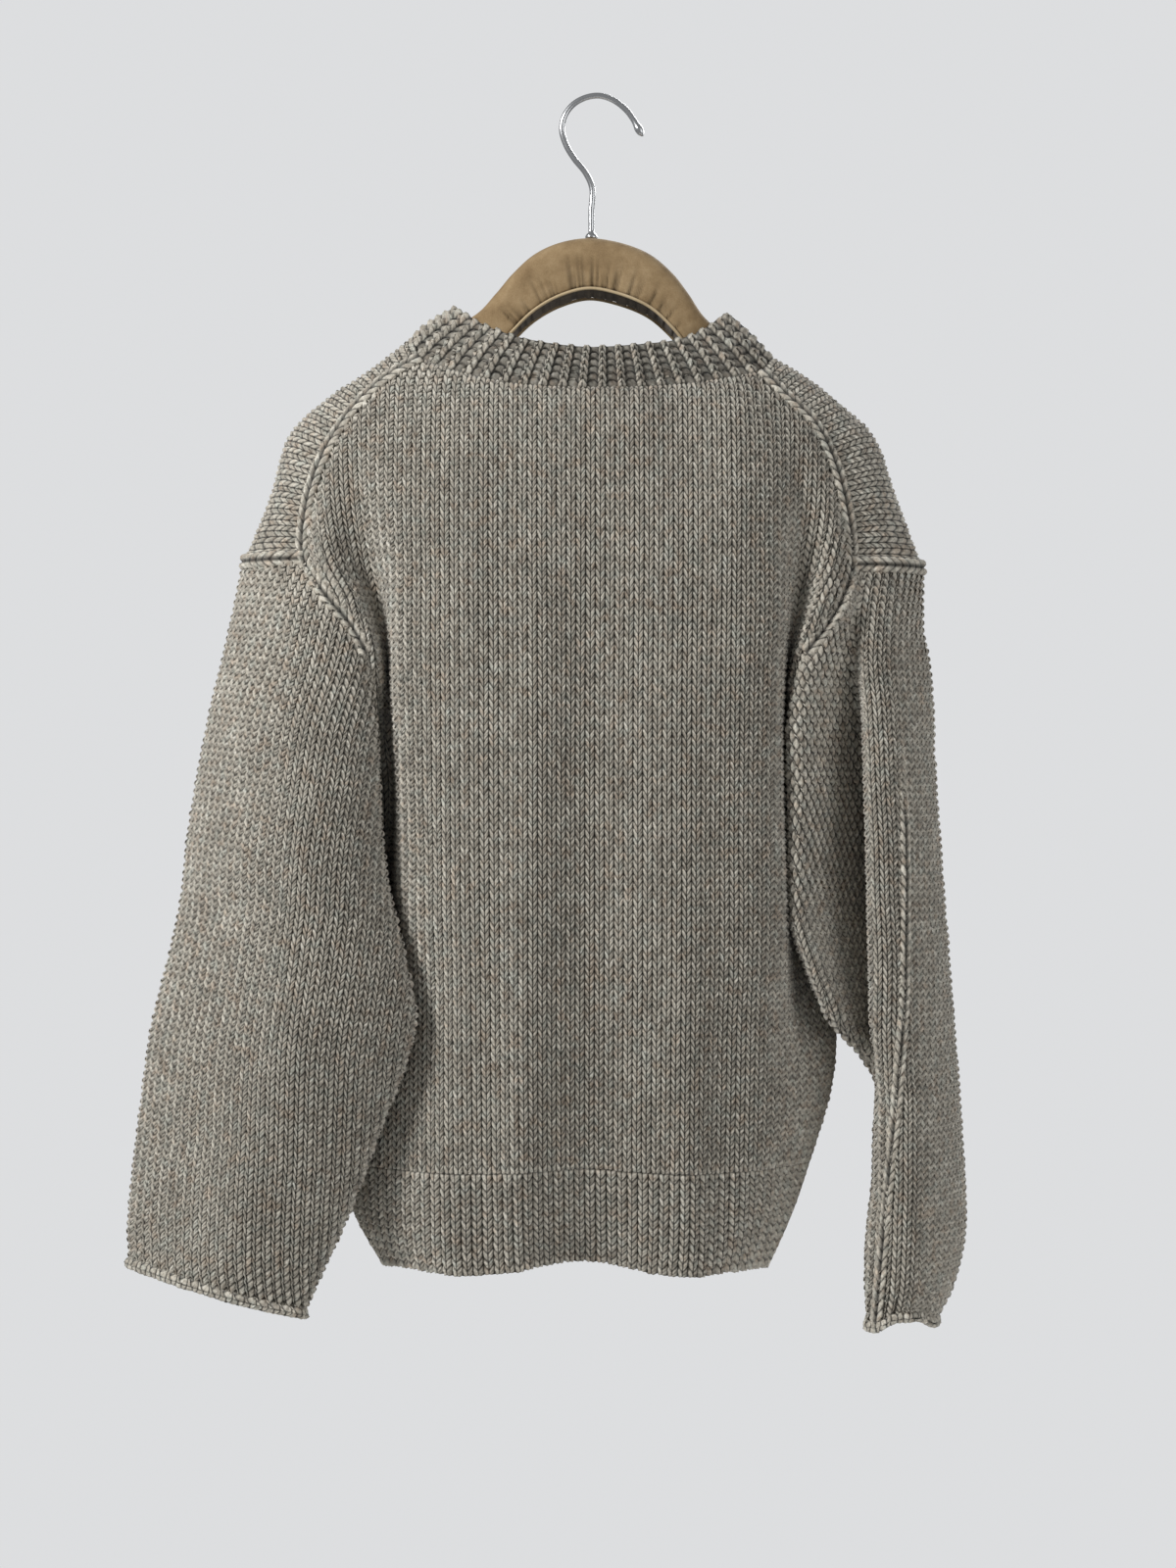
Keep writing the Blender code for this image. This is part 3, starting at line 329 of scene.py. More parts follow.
# Sleeves. The first rows run from the back armhole seam round to the front one at the stations
# from the shoulder's end to the armpit, the rest are closed rings.
LEFT_SLEEVE_COLUMNS = ("outer_z", "inner_z", "inner_x", "inner_y", "back_x", "back_y", "outer_x", "outer_y",
                       "front_x", "front_y", "under_x", "under_y")
LEFT_SLEEVE = (
    (-331, -331, -215, -41, -231, -31, -254, 0, -240, 27, 0, 0),
    (-358, -358, -201, -56, -222, -48, -259, -2, -232, 33, 0, 0),
    (-378, -378, -186, -64, -215, -58, -263, -4, -225, 36, 0, 0),
    (-400, -400, -174, -66, -212, -64, -268, -6, -223, 36, 0, 0),
    (-440, -440, -160, -66, -211, -74, -277, -8, -223, 30, 0, 0),
    (-490, -490, -155, -63, -210, -81, -286, -12, -225, 16, 0, 0),
    (-530, -530, -152, -62, -210, -85, -292, -14, -226, 6, 0, 0),
    (-570, -570, -146, -62, -210, -87, -296, -16, -227, -2, -183, 0),
    (-592, -590, -140, -63, -210, -88, -300, -17, -226, -8, -176, -20),
    (-618, -615, -134, -66, -210, -88, -306, -18, -226, -14, -162, -38),
    (-659, -654, -128, -67, -214, -86, -316, -20, -227, -20, -139, -53),
    (-692, -688, -137, -64, -223, -80, -321, -21, -234, -21, -146, -49),
    (-725, -721, -150, -59, -232, -74, -325, -22, -241, -22, -158, -44),
    (-757, -753, -162, -55, -240, -69, -329, -23, -248, -23, -170, -40),
    (-787, -787, -175, -51, -248, -64, -332, -24, -254, -23, -183, -36),
    (-808, -824, -192, -48, -257, -60, -333, -25, -262, -21, -199, -33),
    (-829, -861, -209, -46, -266, -56, -331, -26, -271, -20, -215, -31),
)
RIGHT_SLEEVE_COLUMNS = ("outer_z", "inner_z", "tip_x", "tip_y", "inner_x", "inner_y",
                        "crease_x", "crease_y", "lip_x", "lip_y", "back_x", "back_y",
                        "outer_x", "outer_y", "front_x", "front_y", "under_x", "under_y")
RIGHT_SLEEVE = (
    (-335, -335, 178, -41, 180, -41, 186, -41, 194, -38, 213, -25, 230, 0, 215, 27, 0, 0),
    (-361, -361, 171, -55, 174, -55, 182, -46, 190, -44, 209, -35, 230, -1, 210, 33, 0, 0),
    (-378, -378, 162, -60, 165, -60, 177, -45, 188, -48, 207, -40, 230, -1, 207, 36, 0, 0),
    (-400, -400, 148, -63, 153, -63, 177, -40, 186, -51, 206, -45, 234, -2, 204, 40, 0, 0),
    (-440, -440, 133, -58, 140, -60, 183, -24, 186, -54, 209, -50, 237, -2, 199, 44, 0, 0),
    (-490, -490, 131, -50, 138, -57, 188, -10, 187, -56, 211, -52, 239, 0, 199, 48, 0, 0),
    (-530, -530, 132, -48, 137, -56, 191, -5, 188, -56, 213, -52, 242, 1, 200, 51, 0, 0),
    (-570, -570, 132, -47, 137, -56, 192, -3, 189, -56, 214, -52, 245, 2, 201, 54, 165, 0),
    (-592, -590, 134, -47, 139, -56, 193, -6, 189, -56, 215, -52, 247, 3, 203, 58, 172, -6),
    (-619, -616, 143, -44, 149, -52, 193, -10, 190, -55, 216, -52, 249, 4, 205, 63, 178, -4),
    (-661, -657, 162, -34, 169, -41, 194, -16, 191, -52, 216, -52, 253, 6, 213, 72, 186, 5),
    (-686, -683, 186, -4, 191, -13, 198, -17, 194, -49, 217, -53, 255, 8, 219, 77, 195, 22),
    (-707, -704, 199, 8, 198, 2, 197, -20, 196, -46, 218, -54, 257, 10, 223, 82, 205, 42),
    (-740, -740, 198, 13, 197, 7, 196, -20, 195, -44, 218, -54, 259, 10, 228, 84, 205, 44),
    (-771, -771, 197, 11, 196, 5, 195, -20, 194, -42, 218, -54, 261, 10, 231, 83, 204, 43),
    (-819, -818, 192, 7, 191, 1, 190, -18, 189, -38, 217, -50, 260, 8, 230, 74, 200, 38),
    (-846, -844, 192, 6, 191, 0, 190, -17, 189, -36, 216, -46, 253, 6, 229, 68, 199, 34),
    (-873, -873, 195, 5, 194, 0, 192, -16, 191, -33, 212, -41, 240, 4, 225, 56, 201, 28),
)

# Arch of the hanger at the neck: place along X, height of its top and underside, half depth
HANGER_ARCH = (
    (-89, -155, -197, 17), (-74, -140, -184, 20), (-62, -126, -170, 22), (-46, -112, -155, 24),
    (-28, -104, -145, 25), (-8, -101, -140, 25), (14, -104, -144, 25), (35, -112, -153, 24),
    (52, -126, -168, 22), (63, -140, -182, 20), (76, -158, -197, 17),
)
# Height and half depth of the hanger below each saddle station, its drop below the cloth there and
# how far it stays short of the station
HANGER_SHOULDER = ((38, 16, 0, 0), (36, 18, 0, 0), (32, 15, 1, 0), (20, 9, 3, 5))
# Hook, from the hanger up: its collar and the ball at its tip as x, z and radius, the wire as x and z
HOOK_COLLAR = ((-6, -100.5, 4.3), (-6, -98.0, 4.3), (-6, -96.6, 3.4))
HOOK_WIRE = ((-6, -95.6), (-6, -80), (-5.4, -64), (-10, -53), (-18, -43), (-24, -33), (-27, -22),
             (-25, -12), (-19, -4), (-10, 1), (0, 2.3), (10, -1), (19, -8), (24.5, -15.5))
HOOK_BALL = ((26.2, -18.6, 2.4), (27.8, -21.4, 3.0), (29.4, -24.3, 2.4), (30.5, -26.2, 1.0))

# Soft troughs pressed into a panel: x and z of one end, of the other end, width, depth
BACK_CREASES = (
    (-150, -330, -60, -420, 26, 2.5), (120, -300, 60, -400, 24, 2.0), (-175, -430, -120, -560, 18, 2.2),
    (90, -520, 40, -640, 26, 1.8), (-110, -600, -150, -780, 22, 2.0), (10, -300, -20, -520, 30, 1.6),
    (-8, -360, -14, -790, 24, 5.0),
)
FRONT_CREASES = (
    (-140, -300, -110, -460, 22, 2.5), (100, -330, 130, -500, 20, 2.5), (-90, -520, -70, -740, 26, 2.0),
    (70, -560, 90, -760, 24, 2.2), (-150, -600, -130, -760, 16, 1.6),
)
LEFT_SLEEVE_CREASES = (
    (-222, -470, -262, -500, 9, 2.2), (-225, -560, -285, -585, 10, 2.0), (-250, -640, -305, -655, 8, 1.6),
    (-262, -730, -318, -742, 8, 1.8), (-275, -800, -325, -812, 7, 1.6), (-215, -520, -240, -620, 9, 1.6),
)
RIGHT_SLEEVE_CREASES = (
    (210, -440, 236, -470, 8, 1.6), (216, -560, 240, -590, 8, 1.4), (214, -690, 244, -705, 8, 1.4),
    (212, -790, 246, -802, 7, 1.4),
)
# Directions down the sleeves' wales: x and z
LEFT_SLEEVE_WAY = (-0.14, -1.0)
RIGHT_SLEEVE_WAY = (0.02, -1.0)
# Where the turned sleeve's edge is drawn up between two lobes
NOTCH_X = 215.0
NOTCH_WIDTH = 15.0
NOTCH_RISE = 8.0
NOTCH_TOP = -838.0
NOTCH_FOOT = -873.0
# Seam of the turned sleeve: x and z
TURNED_SEAM = ((211, -446), (213, -560), (212, -640), (206, -720), (200, -785), (194, -866))

# Wool: shades of the flecks from dark to light, in linear colour
WOOL_TONES = (
    (0.28, (0.225, 0.198, 0.158)), (0.42, (0.365, 0.333, 0.278)), (0.52, (0.475, 0.440, 0.370)),
    (0.62, (0.600, 0.562, 0.480)), (0.76, (0.800, 0.765, 0.680)),
)
RIB_TONES = (
    (0.28, (0.220, 0.194, 0.155)), (0.42, (0.357, 0.326, 0.272)), (0.52, (0.465, 0.430, 0.362)),
    (0.62, (0.588, 0.550, 0.470)), (0.76, (0.785, 0.750, 0.668)),
)
WARM_TONE = (0.97, 0.89, 0.84)
COOL_TONE = (0.93, 0.98, 1.0)
FLECK_SCALE = 420.0
FIBRE_SCALE = 1500.0
CLOUD_SCALE = 26.0
TINT_SCALE = FLECK_SCALE * 0.3
# Shares of the flecks, of each leg's own shade and of the clouds in the tone
TONE_SHARES = (0.66, 0.16, 0.18)
# How much painted shade darkens a leg at its sides, at its ends and where both meet: the slits between
# stitches
PAINTED_LEG_SHADES = (0.85, 0.75, 0.6)
# Turns of the plies across a leg and along it
PLY_TURNS = (3.2, 9.4)
# Hanger's cover: scales of its mottling and grain, how dark the painted shade in its wrinkles and on its
# underside is
MOTTLE_SCALE = 60.0
GRAIN_SCALE = 1400.0
WRINKLE_PAINTED_SHADE = 0.4
UNDERSIDE_PAINTED_SHADE = 0.72
COVER_TONES = (
    (0.30, (0.194, 0.126, 0.062)), (0.48, (0.290, 0.200, 0.104)), (0.56, (0.335, 0.236, 0.128)),
    (0.72, (0.430, 0.316, 0.182)),
)
WELT_TONES = ((0.30, (0.400, 0.300, 0.175)), (0.60, (0.530, 0.415, 0.255)), (0.80, (0.610, 0.490, 0.315)))
STEEL_COLOR = (0.52, 0.53, 0.54)
STEEL_SCALE = 900.0

# Room, lamps and camera, in metres
ROOM_COLOR = (0.722, 0.730, 0.742)
ROOM_STRENGTH = 0.42       # as a light; the camera sees the room at its full colour
FLOOR_COLOR = (0.80, 0.80, 0.79)
FLOOR_Z = -1.35
FLOOR_REACH = 1.0
LAMPS = (
    ("key", (-1.9, -1.5, 0.9), (0.0, 0.0, -0.45), 0.7, 63.0),
    ("fill", (1.9, -1.5, -0.1), (0.0, 0.0, -0.5), 1.6, 14.0),
    ("front", (0.8, 1.9, 0.8), (0.0, 0.0, -0.4), 1.0, 34.0),
)
CAMERA_DISTANCE = 2.2
CAMERA_X = -0.0084
CAMERA_Z = -0.4893
FRAME_HEIGHT = 1.12


def smooth_curve(points, segments, closed=False):
    """Centripetal Catmull-Rom curve through points, with segments[i] steps after point i."""
    points = np.asarray(points, dtype=float)
    if closed:
        padded = np.vstack([points[-1], points, points[0], points[1]])
    else:
        padded = np.vstack([2 * points[0] - points[1], points, 2 * points[-1] - points[-2]])
    out = []
    for i, steps in enumerate(segments):
        p0, p1, p2, p3 = padded[i:i + 4]
        t1 = max(np.linalg.norm(p1 - p0), 1e-6) ** 0.5
        t2 = t1 + max(np.linalg.norm(p2 - p1), 1e-6) ** 0.5
        t3 = t2 + max(np.linalg.norm(p3 - p2), 1e-6) ** 0.5
        t = t1 + (t2 - t1) * np.arange(steps)[:, None] / steps
        a1 = (t1 - t) / t1 * p0 + t / t1 * p1
        a2 = (t2 - t) / (t2 - t1) * p1 + (t - t1) / (t2 - t1) * p2
        a3 = (t3 - t) / (t3 - t2) * p2 + (t - t2) / (t3 - t2) * p3
        b1 = (t2 - t) / t2 * a1 + t / t2 * a2
        b2 = (t3 - t) / (t3 - t1) * a2 + (t - t1) / (t3 - t1) * a3
        out.append((t2 - t) / (t2 - t1) * b1 + (t - t1) / (t2 - t1) * b2)
    out.append(points[:1] if closed else points[-1:])
    return np.vstack(out)


def table(columns, rows):
    """Columns of a table by name, each an array with one value a row."""
    return {name: np.array([row[i] for row in rows], dtype=float) for i, name in enumerate(columns)}


def knots(columns, *names):
    """Points of one row side by side: names are prefixes such as edge, with x and y columns."""
    return [np.stack([columns[name + "_x"], columns[name + "_y"]], axis=-1) for name in names]


def read_at(stops, places, values):
    """Rows of values, given at places, read at stops."""
    return np.stack([np.interp(stops, places, column) for column in values.T], axis=-1)


def eased(share):
    """A share from 0 to 1 that starts and ends smoothly."""
    return share * share * (3 - 2 * share)


def share_across(plan):
    """Share of the way from a row's first point to its last, along X."""
    return (plan[:, 0] - plan[0, 0]) / (plan[-1, 0] - plan[0, 0])


def unit(vectors):
    """Vectors scaled to length one."""
    return vectors / np.maximum(np.linalg.norm(vectors, axis=-1, keepdims=True), 1e-9)


def finer(segments):
    """The steps of the solids' rows, split as finely as the looks need."""
    return tuple(count * FINER for count in segments)


def folds(x, share, rows):
    """Height of the soft vertical folds at x, share of the way from shoulders to hem."""
    height = np.zeros_like(x)
    for top_x, hem_x, width, top_height, hem_height in rows:
        centre = top_x + (hem_x - top_x) * share
        size = top_height + (hem_height - top_height) * share
        height += size * np.exp(-((x - centre) / width) ** 2)
    return height


def back_rows():
    """Outer points of the back from the neck to the hem, a row a station, left to right."""
    left = table(BACK_COLUMNS, BACK_LEFT)
    right = table(BACK_COLUMNS, BACK_RIGHT)
    middle = table(MIDDLE_COLUMNS, BACK_MIDDLE)
    rows = []
    for s in range(len(BACK_LEFT)):
        stops = [point[s] for point in knots(left, "edge", "lip", "crease", "brow")]
        stops += [point[s] for point in knots(middle, "middle")]
        stops += [point[s] for point in knots(right, "brow", "crease", "lip", "edge")]
        plan = smooth_curve(stops, finer(BACK_SEGMENTS))
        share = share_across(plan)
        level = middle["middle_z"][s]
        rise = np.where(share < 0.5, left["edge_z"][s] - level, right["edge_z"][s] - level)
        height = level + rise * np.abs(2 * share - 1) ** BACK_BOW
        sag = HEM_SAG * np.clip((s - SAG_START) / (HEM - SAG_START), 0, 1)
        height -= sag * np.sin(2 * math.pi * share) ** 2
        down = (middle["middle_z"][0] - level) / (middle["middle_z"][0] - middle["middle_z"][-1])
        plan[:, 1] -= folds(plan[:, 0], down, BACK_FOLDS) * np.clip(s / FOLD_GROWTH, 0, 1)
        rows.append(np.column_stack([plan, height]))
    return np.array(rows)


def front_rows(rows, side_edge):
    """Outer points of a front from its outer edge to the edge that carries the band."""
    front = table(FRONT_COLUMNS, rows)
    edge, corner, inner = knots(front, "edge", "corner", "inner")
    out = []
    for s in range(len(rows)):
        plan = smooth_curve([edge[s], corner[s], inner[s]], finer(FRONT_SEGMENTS))
        share = share_across(plan)
        height = front["edge_z"][s] + (front["inner_z"][s] - front["edge_z"][s]) * share
        down = np.clip((FRONT_FOLD_TOP - front["edge_z"][s]) / FRONT_FOLD_REACH, 0, 1)
        swell = folds(plan[:, 0], down, FRONT_FOLDS)
        swell *= np.clip(FOLD_EDGE * share * (1 - share), 0, 1) * np.clip(s / FOLD_GROWTH, 0, 1)
        plan[:, 1] += swell
        out.append(np.column_stack([plan, height]))
    out = np.array(out)
    out[ARMPIT:, 0] = side_edge[ARMPIT:]
    return out


def saddle_rows(back_edge, front_edge, ridge, side):
    """Outer points of a saddle, from the back seam over the ridge to the front seam."""
    out = []
    for s in range(SHOULDER_END + 1):
        out_by, deep_by, up_by = SADDLE_CROWN[s]
        back_half = (back_edge[s] + ridge[s]) / 2 + (out_by * side, -deep_by, up_by)
        front_half = (front_edge[s] + ridge[s]) / 2 + (out_by * side, deep_by, up_by)
        stops = [back_edge[s], back_half, ridge[s], front_half, front_edge[s]]
        out.append(smooth_curve(stops, finer((SADDLE_SEGMENTS // 4,) * 4)))
    return np.array(out)


def sleeve_rows(columns, rows, names, segments, back_edge, front_edge):
    """Outer points of a sleeve: open rows down to the armpit, then rings that end at the cuff."""
    sleeve = table(columns, rows)
    stops = knots(sleeve, *names)
    under = knots(sleeve, "under")[0]
    out = []
    for r in range(len(rows)):
        station = SHOULDER_END + r
        ring = [point[r] for point in stops]
        if station < ARMPIT:
            ring = [back_edge[station][:2]] + ring + [front_edge[station][:2]]
            plan = smooth_curve(ring, finer(segments))
        else:
            plan = smooth_curve([under[r]] + ring, finer(segments), closed=True)
        outer_x = sleeve["outer_x"][r]
        inner_x = sleeve["inner_x"][r]
        share = np.clip((plan[:, 0] - inner_x) / (outer_x - inner_x), 0, 1)
        height = sleeve["inner_z"][r] + (sleeve["outer_z"][r] - sleeve["inner_z"][r]) * share
        out.append(np.column_stack([plan, height]))
    return np.array(out)


def body_forms():
    """Outer points of the seven panels of the garment."""
    back = back_rows()
    left_edge, right_edge = back[:, 0], back[:, -1]
    front_left = front_rows(FRONT_LEFT, left_edge)
    front_right = front_rows(FRONT_RIGHT, right_edge)
    saddle_left = saddle_rows(left_edge, front_left[:, 0], np.array(RIDGE_LEFT, float), -1)
    saddle_right = saddle_rows(right_edge, front_right[:, 0], np.array(RIDGE_RIGHT, float), 1)
    sleeve_left = sleeve_rows(LEFT_SLEEVE_COLUMNS, LEFT_SLEEVE, ("inner", "back", "outer", "front"),
                              LEFT_SLEEVE_SEGMENTS, left_edge, front_left[:, 0])
    sleeve_right = sleeve_rows(RIGHT_SLEEVE_COLUMNS, RIGHT_SLEEVE,
                               ("tip", "inner", "crease", "lip", "back", "outer", "front"),
                               RIGHT_SLEEVE_SEGMENTS, right_edge, front_right[:, 0])
    for saddle, sleeve in ((saddle_left, sleeve_left), (saddle_right, sleeve_right)):
        reach = reach_along(sleeve[0])
        sleeve[0] = spread(saddle[-1], saddle[-1], reach / reach[-1])
    return {"back": back, "front_left": front_left, "front_right": front_right, "saddle_left": saddle_left,
            "saddle_right": saddle_right, "sleeve_left": sleeve_left, "sleeve_right": sleeve_right}


def reach_along(polyline):
    """Length of a polyline up to each of its points."""
    steps = np.linalg.norm(np.diff(polyline, axis=0), axis=1)
    return np.concatenate([[0.0], np.cumsum(steps)])


def spread(polyline, values, shares):
    """Values given at a polyline's points, read at shares of its length."""
    reach = reach_along(polyline)
    return read_at(reach[-1] * shares, reach, values)


def rows_between(grid, stops):
    """Points of the smooth surface through a grid's rows, at fractional row numbers, column by column."""
    stops = np.asarray(stops, dtype=float)
    if stops.ndim == 1:
        stops = stops[:, None].repeat(grid.shape[1], axis=1)
    place = np.concatenate([[0.0], np.cumsum(np.linalg.norm(np.diff(grid, axis=0), axis=2).mean(axis=1))])
    slope = np.gradient(grid, place, axis=0)
    ring = meets(grid)
    slope[ring, 0] = slope[ring, -1] = (slope[ring, 0] + slope[ring, -1]) / 2
    index = np.clip(stops.astype(int), 0, len(grid) - 2)
    columns = np.arange(grid.shape[1])[None]
    share = (stops - index)[..., None]
    length = (place[index + 1] - place[index])[..., None]
    start = grid[index, columns] * (1 + 2 * share) + slope[index, columns] * length * share
    end = grid[index + 1, columns] * (3 - 2 * share) + slope[index + 1, columns] * length * (share - 1)
    return start * (1 - share) ** 2 + end * share ** 2


def meets(grid):
    """Which rows of a grid are rings, with their last point on their first."""
    return np.linalg.norm(grid[:, 0] - grid[:, -1], axis=1) < 1e-4


def facing_out(surface, side):
    """Direction out of the garment at every point of a surface."""
    across = unit(np.gradient(surface, axis=1))
    down = unit(np.gradient(surface, axis=0))
    out = unit(np.cross(across, down)) * -side
    evened = out.copy()
    evened[:, 1:-1] += out[:, :-2] + out[:, 2:]
    evened = unit(evened)
    ring = meets(surface)
    evened[ring, 0] = evened[ring, -1] = unit(evened[ring, 0] + evened[ring, -1])
    return evened


def creased(surface, out, creases):
    """The surface with soft troughs pressed in along short lines, as seen from the back."""
    moved = np.zeros(surface.shape[:2])
    for x0, z0, x1, z1, width, depth in creases:
        line = np.array([x1 - x0, z1 - z0], dtype=float)
        length = np.linalg.norm(line)
        line /= length
        dx, dz = surface[..., 0] - x0, surface[..., 2] - z0
        along = (dx * line[0] + dz * line[1]) / length
        off = dx * line[1] - dz * line[0]
        taper = eased(np.clip(np.minimum(along, 1 - along) * 3 + 0.5, 0, 1))
        moved += depth * taper * np.exp(-(off / width) ** 2)
    moved[:, [0, -1]] = 0
    return surface - out * moved[..., None]


def drawn_up(surface):
    """The turned sleeve with its edge drawn up between two lobes."""
    x, z = surface[..., 0], surface[..., 2]
    reach = np.clip((NOTCH_TOP - z) / (NOTCH_TOP - NOTCH_FOOT), 0, 1)
    rise = NOTCH_RISE * reach * reach * np.exp(-((x - NOTCH_X) / NOTCH_WIDTH) ** 4)
    return surface + rise[..., None] * (0, 0, 1)


class Form:
    """The smooth surface of a piece, read at every row of its knitting.

    way is the direction down the wales, as x and z: the courses then lie square to it, run level to
    the foot's own line near the foot, and are cut by the piece's edges. Without it they follow the rows.
    ring_row is the first closed ring, which a course then meets.
    """

    def __init__(self, rows, side, reference, course, span=None, way=None, ring_row=None, creases=(),
                 notched=False):
        first, last = span or (0, len(rows) - 1)
        probe = np.linspace(first, last, PROBES * (last - first) + 1)
        fine = rows_between(rows, probe)
        if way is None:
            depth = reach_along(fine[:, reference])[:, None].repeat(rows.shape[1], axis=1)
            course = depth[-1, 0] / max(1, round(depth[-1, 0] / course))
        else:
            depth = fine @ unit(np.array((way[0], 0.0, way[1])))
            depth = np.maximum.accumulate(depth, axis=0) + np.arange(len(depth))[:, None] * 1e-5
        self.foot, self.level = depth[-1], depth[-1].mean()
        if ring_row is not None:
            goal = np.interp(ring_row, probe, depth[:, 0])
            above = self.level - goal
            for _ in range(LEVEL_ROUNDS):
                above += self.depth_at(np.array([above]))[0, 0] - goal
            course = above / round(above / course)
        tall = max(1, round((self.level - depth[0].min()) / course - COURSE_SLACK))
        while (self.depth_at(np.array([tall * course]))[0] > depth[0] + 1e-3).any():
            tall += 1
        own = np.array([at for at, *_ in LEG])
        self.courses = np.concatenate([i + own for i in range(tall)] + [[tall]])
        goals = self.depth_at((tall - self.courses) * course)
        stops = np.stack([np.interp(goals[:, c], depth[:, c], probe) for c in range(rows.shape[1])], axis=1)
        self.gap = np.maximum(goals - depth[0], 0.0)
        self.surface = rows_between(rows, stops)
        self.out = unit(rows_between(facing_out(rows, side), stops))
        across = unit(np.gradient(self.surface, axis=1))
        self.down = unit(np.cross(self.out, across)) * -side
        if creases:
            self.surface = creased(self.surface, self.out, creases)
        if notched:
            self.surface = drawn_up(self.surface)
        self.course = course
        lengths = np.linalg.norm(np.diff(self.surface, axis=1), axis=2).sum(axis=1)
        self.width = float(lengths.max())
        self.length = float(self.level - depth[0].min())
        self.area = float(lengths.mean()) * self.length

    def depth_at(self, above):
        """Depth of each column of a course that lies above the foot by so much."""
        share = eased(np.clip(above / LEVEL_REACH, 0, 1))[:, None]
        return self.foot * (1 - share) + self.level * share - above[:, None]


class Lattice:
    """Knitting over a form: points at each leg of yarn, their directions out, and their stitch places."""

    def __init__(self, form, reference, wale, profile, relief, seed, columns=slice(None), drift=0.0,
                 fade=EDGE_FADE, count=None):
        surface = form.surface[:, columns]
        courses = form.courses
        steps = np.linalg.norm(np.diff(surface, axis=1), axis=2)
        reach = np.concatenate([np.zeros((len(surface), 1)), np.cumsum(steps, axis=1)], axis=1)
        real = reach[:, -1:].copy()
        if count is None:
            reach -= reach[:, [reference]]
            reach -= drift * (courses * form.course)[:, None]
        else:
            reach *= count * wale / real
        places, kinds, wales = self.across(reach, wale, profile)
        shape = np.array(profile)[kinds]
        legs = np.array(LEG)[np.arange(len(courses)) % len(LEG)]
        legs[-1] = LEG_END
        held = np.clip(places[None, :], reach[:, :1], reach[:, -1:])
        gap = self.read(form.gap[:, columns, None], reach, held)[..., 0]
        whole = np.clip(gap / form.course * 2, 0, 1)
        places = places[None, :] + wale * shape[:, 5][None, :] * legs[:, 3:4] * whole
        held = np.clip(places, reach[:, :1], reach[:, -1:])
        self.points = self.read(surface, reach, held)
        self.out = unit(self.read(form.out[:, columns], reach, held))
        down = unit(self.read(form.down[:, columns], reach, held))
        first = columns.start or 0
        numbers = np.arange(surface.shape[1]) + first
        self.ends = [np.interp(held[r], reach[r], numbers) for r in (0, -1)]
        scale = real / (reach[:, -1:] - reach[:, :1])
        near = np.clip(np.minimum(held - reach[:, :1], reach[:, -1:] - held) * scale / fade, 0, 1)
        slant = np.clip(np.arange(len(courses))[::-1] / SKEW_FADE, 0, 1)[:, None] * near * whole
        leg = LEG_END[1] + (legs[:, 1:2] - LEG_END[1]) * whole
        height = shape[:, 1][None, :] * np.where(shape[:, 1] > RAISED, leg, 1.0)
        height += shape[:, 4][None, :] * legs[:, 2:3] * whole
        self.points += self.out * (relief * height * near)[..., None]
        self.points += down * (shape[:, 2][None, :] * slant * form.course)[..., None]
        self.stray(seed, wales, courses, near * whole, down)
        seen = np.clip(courses, SEEN_MARGIN, courses[-1] - SEEN_MARGIN)
        stitch = np.broadcast_arrays((2 * wales + shape[:, 3])[None, :], seen[:, None])
        self.stitch = np.array(np.stack(stitch, axis=-1), dtype=float)
        self.stitch[..., 0] -= (places - held) / wale * 2

    @staticmethod
    def across(reach, wale, profile):
        """Places of the lattice's columns, their place in the profile, and the wale of each."""
        low = math.floor(reach.min() / wale) - 1
        high = math.ceil(reach.max() / wale) + 1
        wales = np.repeat(np.arange(low, high), len(profile))
        kinds = np.tile(np.arange(len(profile)), high - low)
        places = (wales + np.array([at for at, *_ in profile])[kinds]) * wale
        slack = wale * WALE_SLACK
        live = (places > reach.min() - slack) & (places < reach.max() + slack)
        return places[live], kinds[live], wales[live]

    @staticmethod
    def read(values, reach, held):
        """Values of a surface, given at reach, read at held along each row."""
        return np.array([read_at(*row) for row in zip(held, reach, values)])

    def stray(self, seed, wales, courses, near, down):
        """Let each stitch stray a little from its place, as hand knitting does."""
        rng = np.random.default_rng(seed)
        first = wales.min()
        shift = rng.normal(0.0, IRREGULAR, (int(courses[-1]) + 2, wales.max() - first + 1, 2))
        own = shift[np.floor(courses).astype(int)[:, None], (wales - first)[None, :]]
        inside = near * (near > 0.99)
        self.points += self.out * (own[..., 0] * STRAY_OUT * inside)[..., None]
        self.points += down * (own[..., 1] * inside)[..., None]


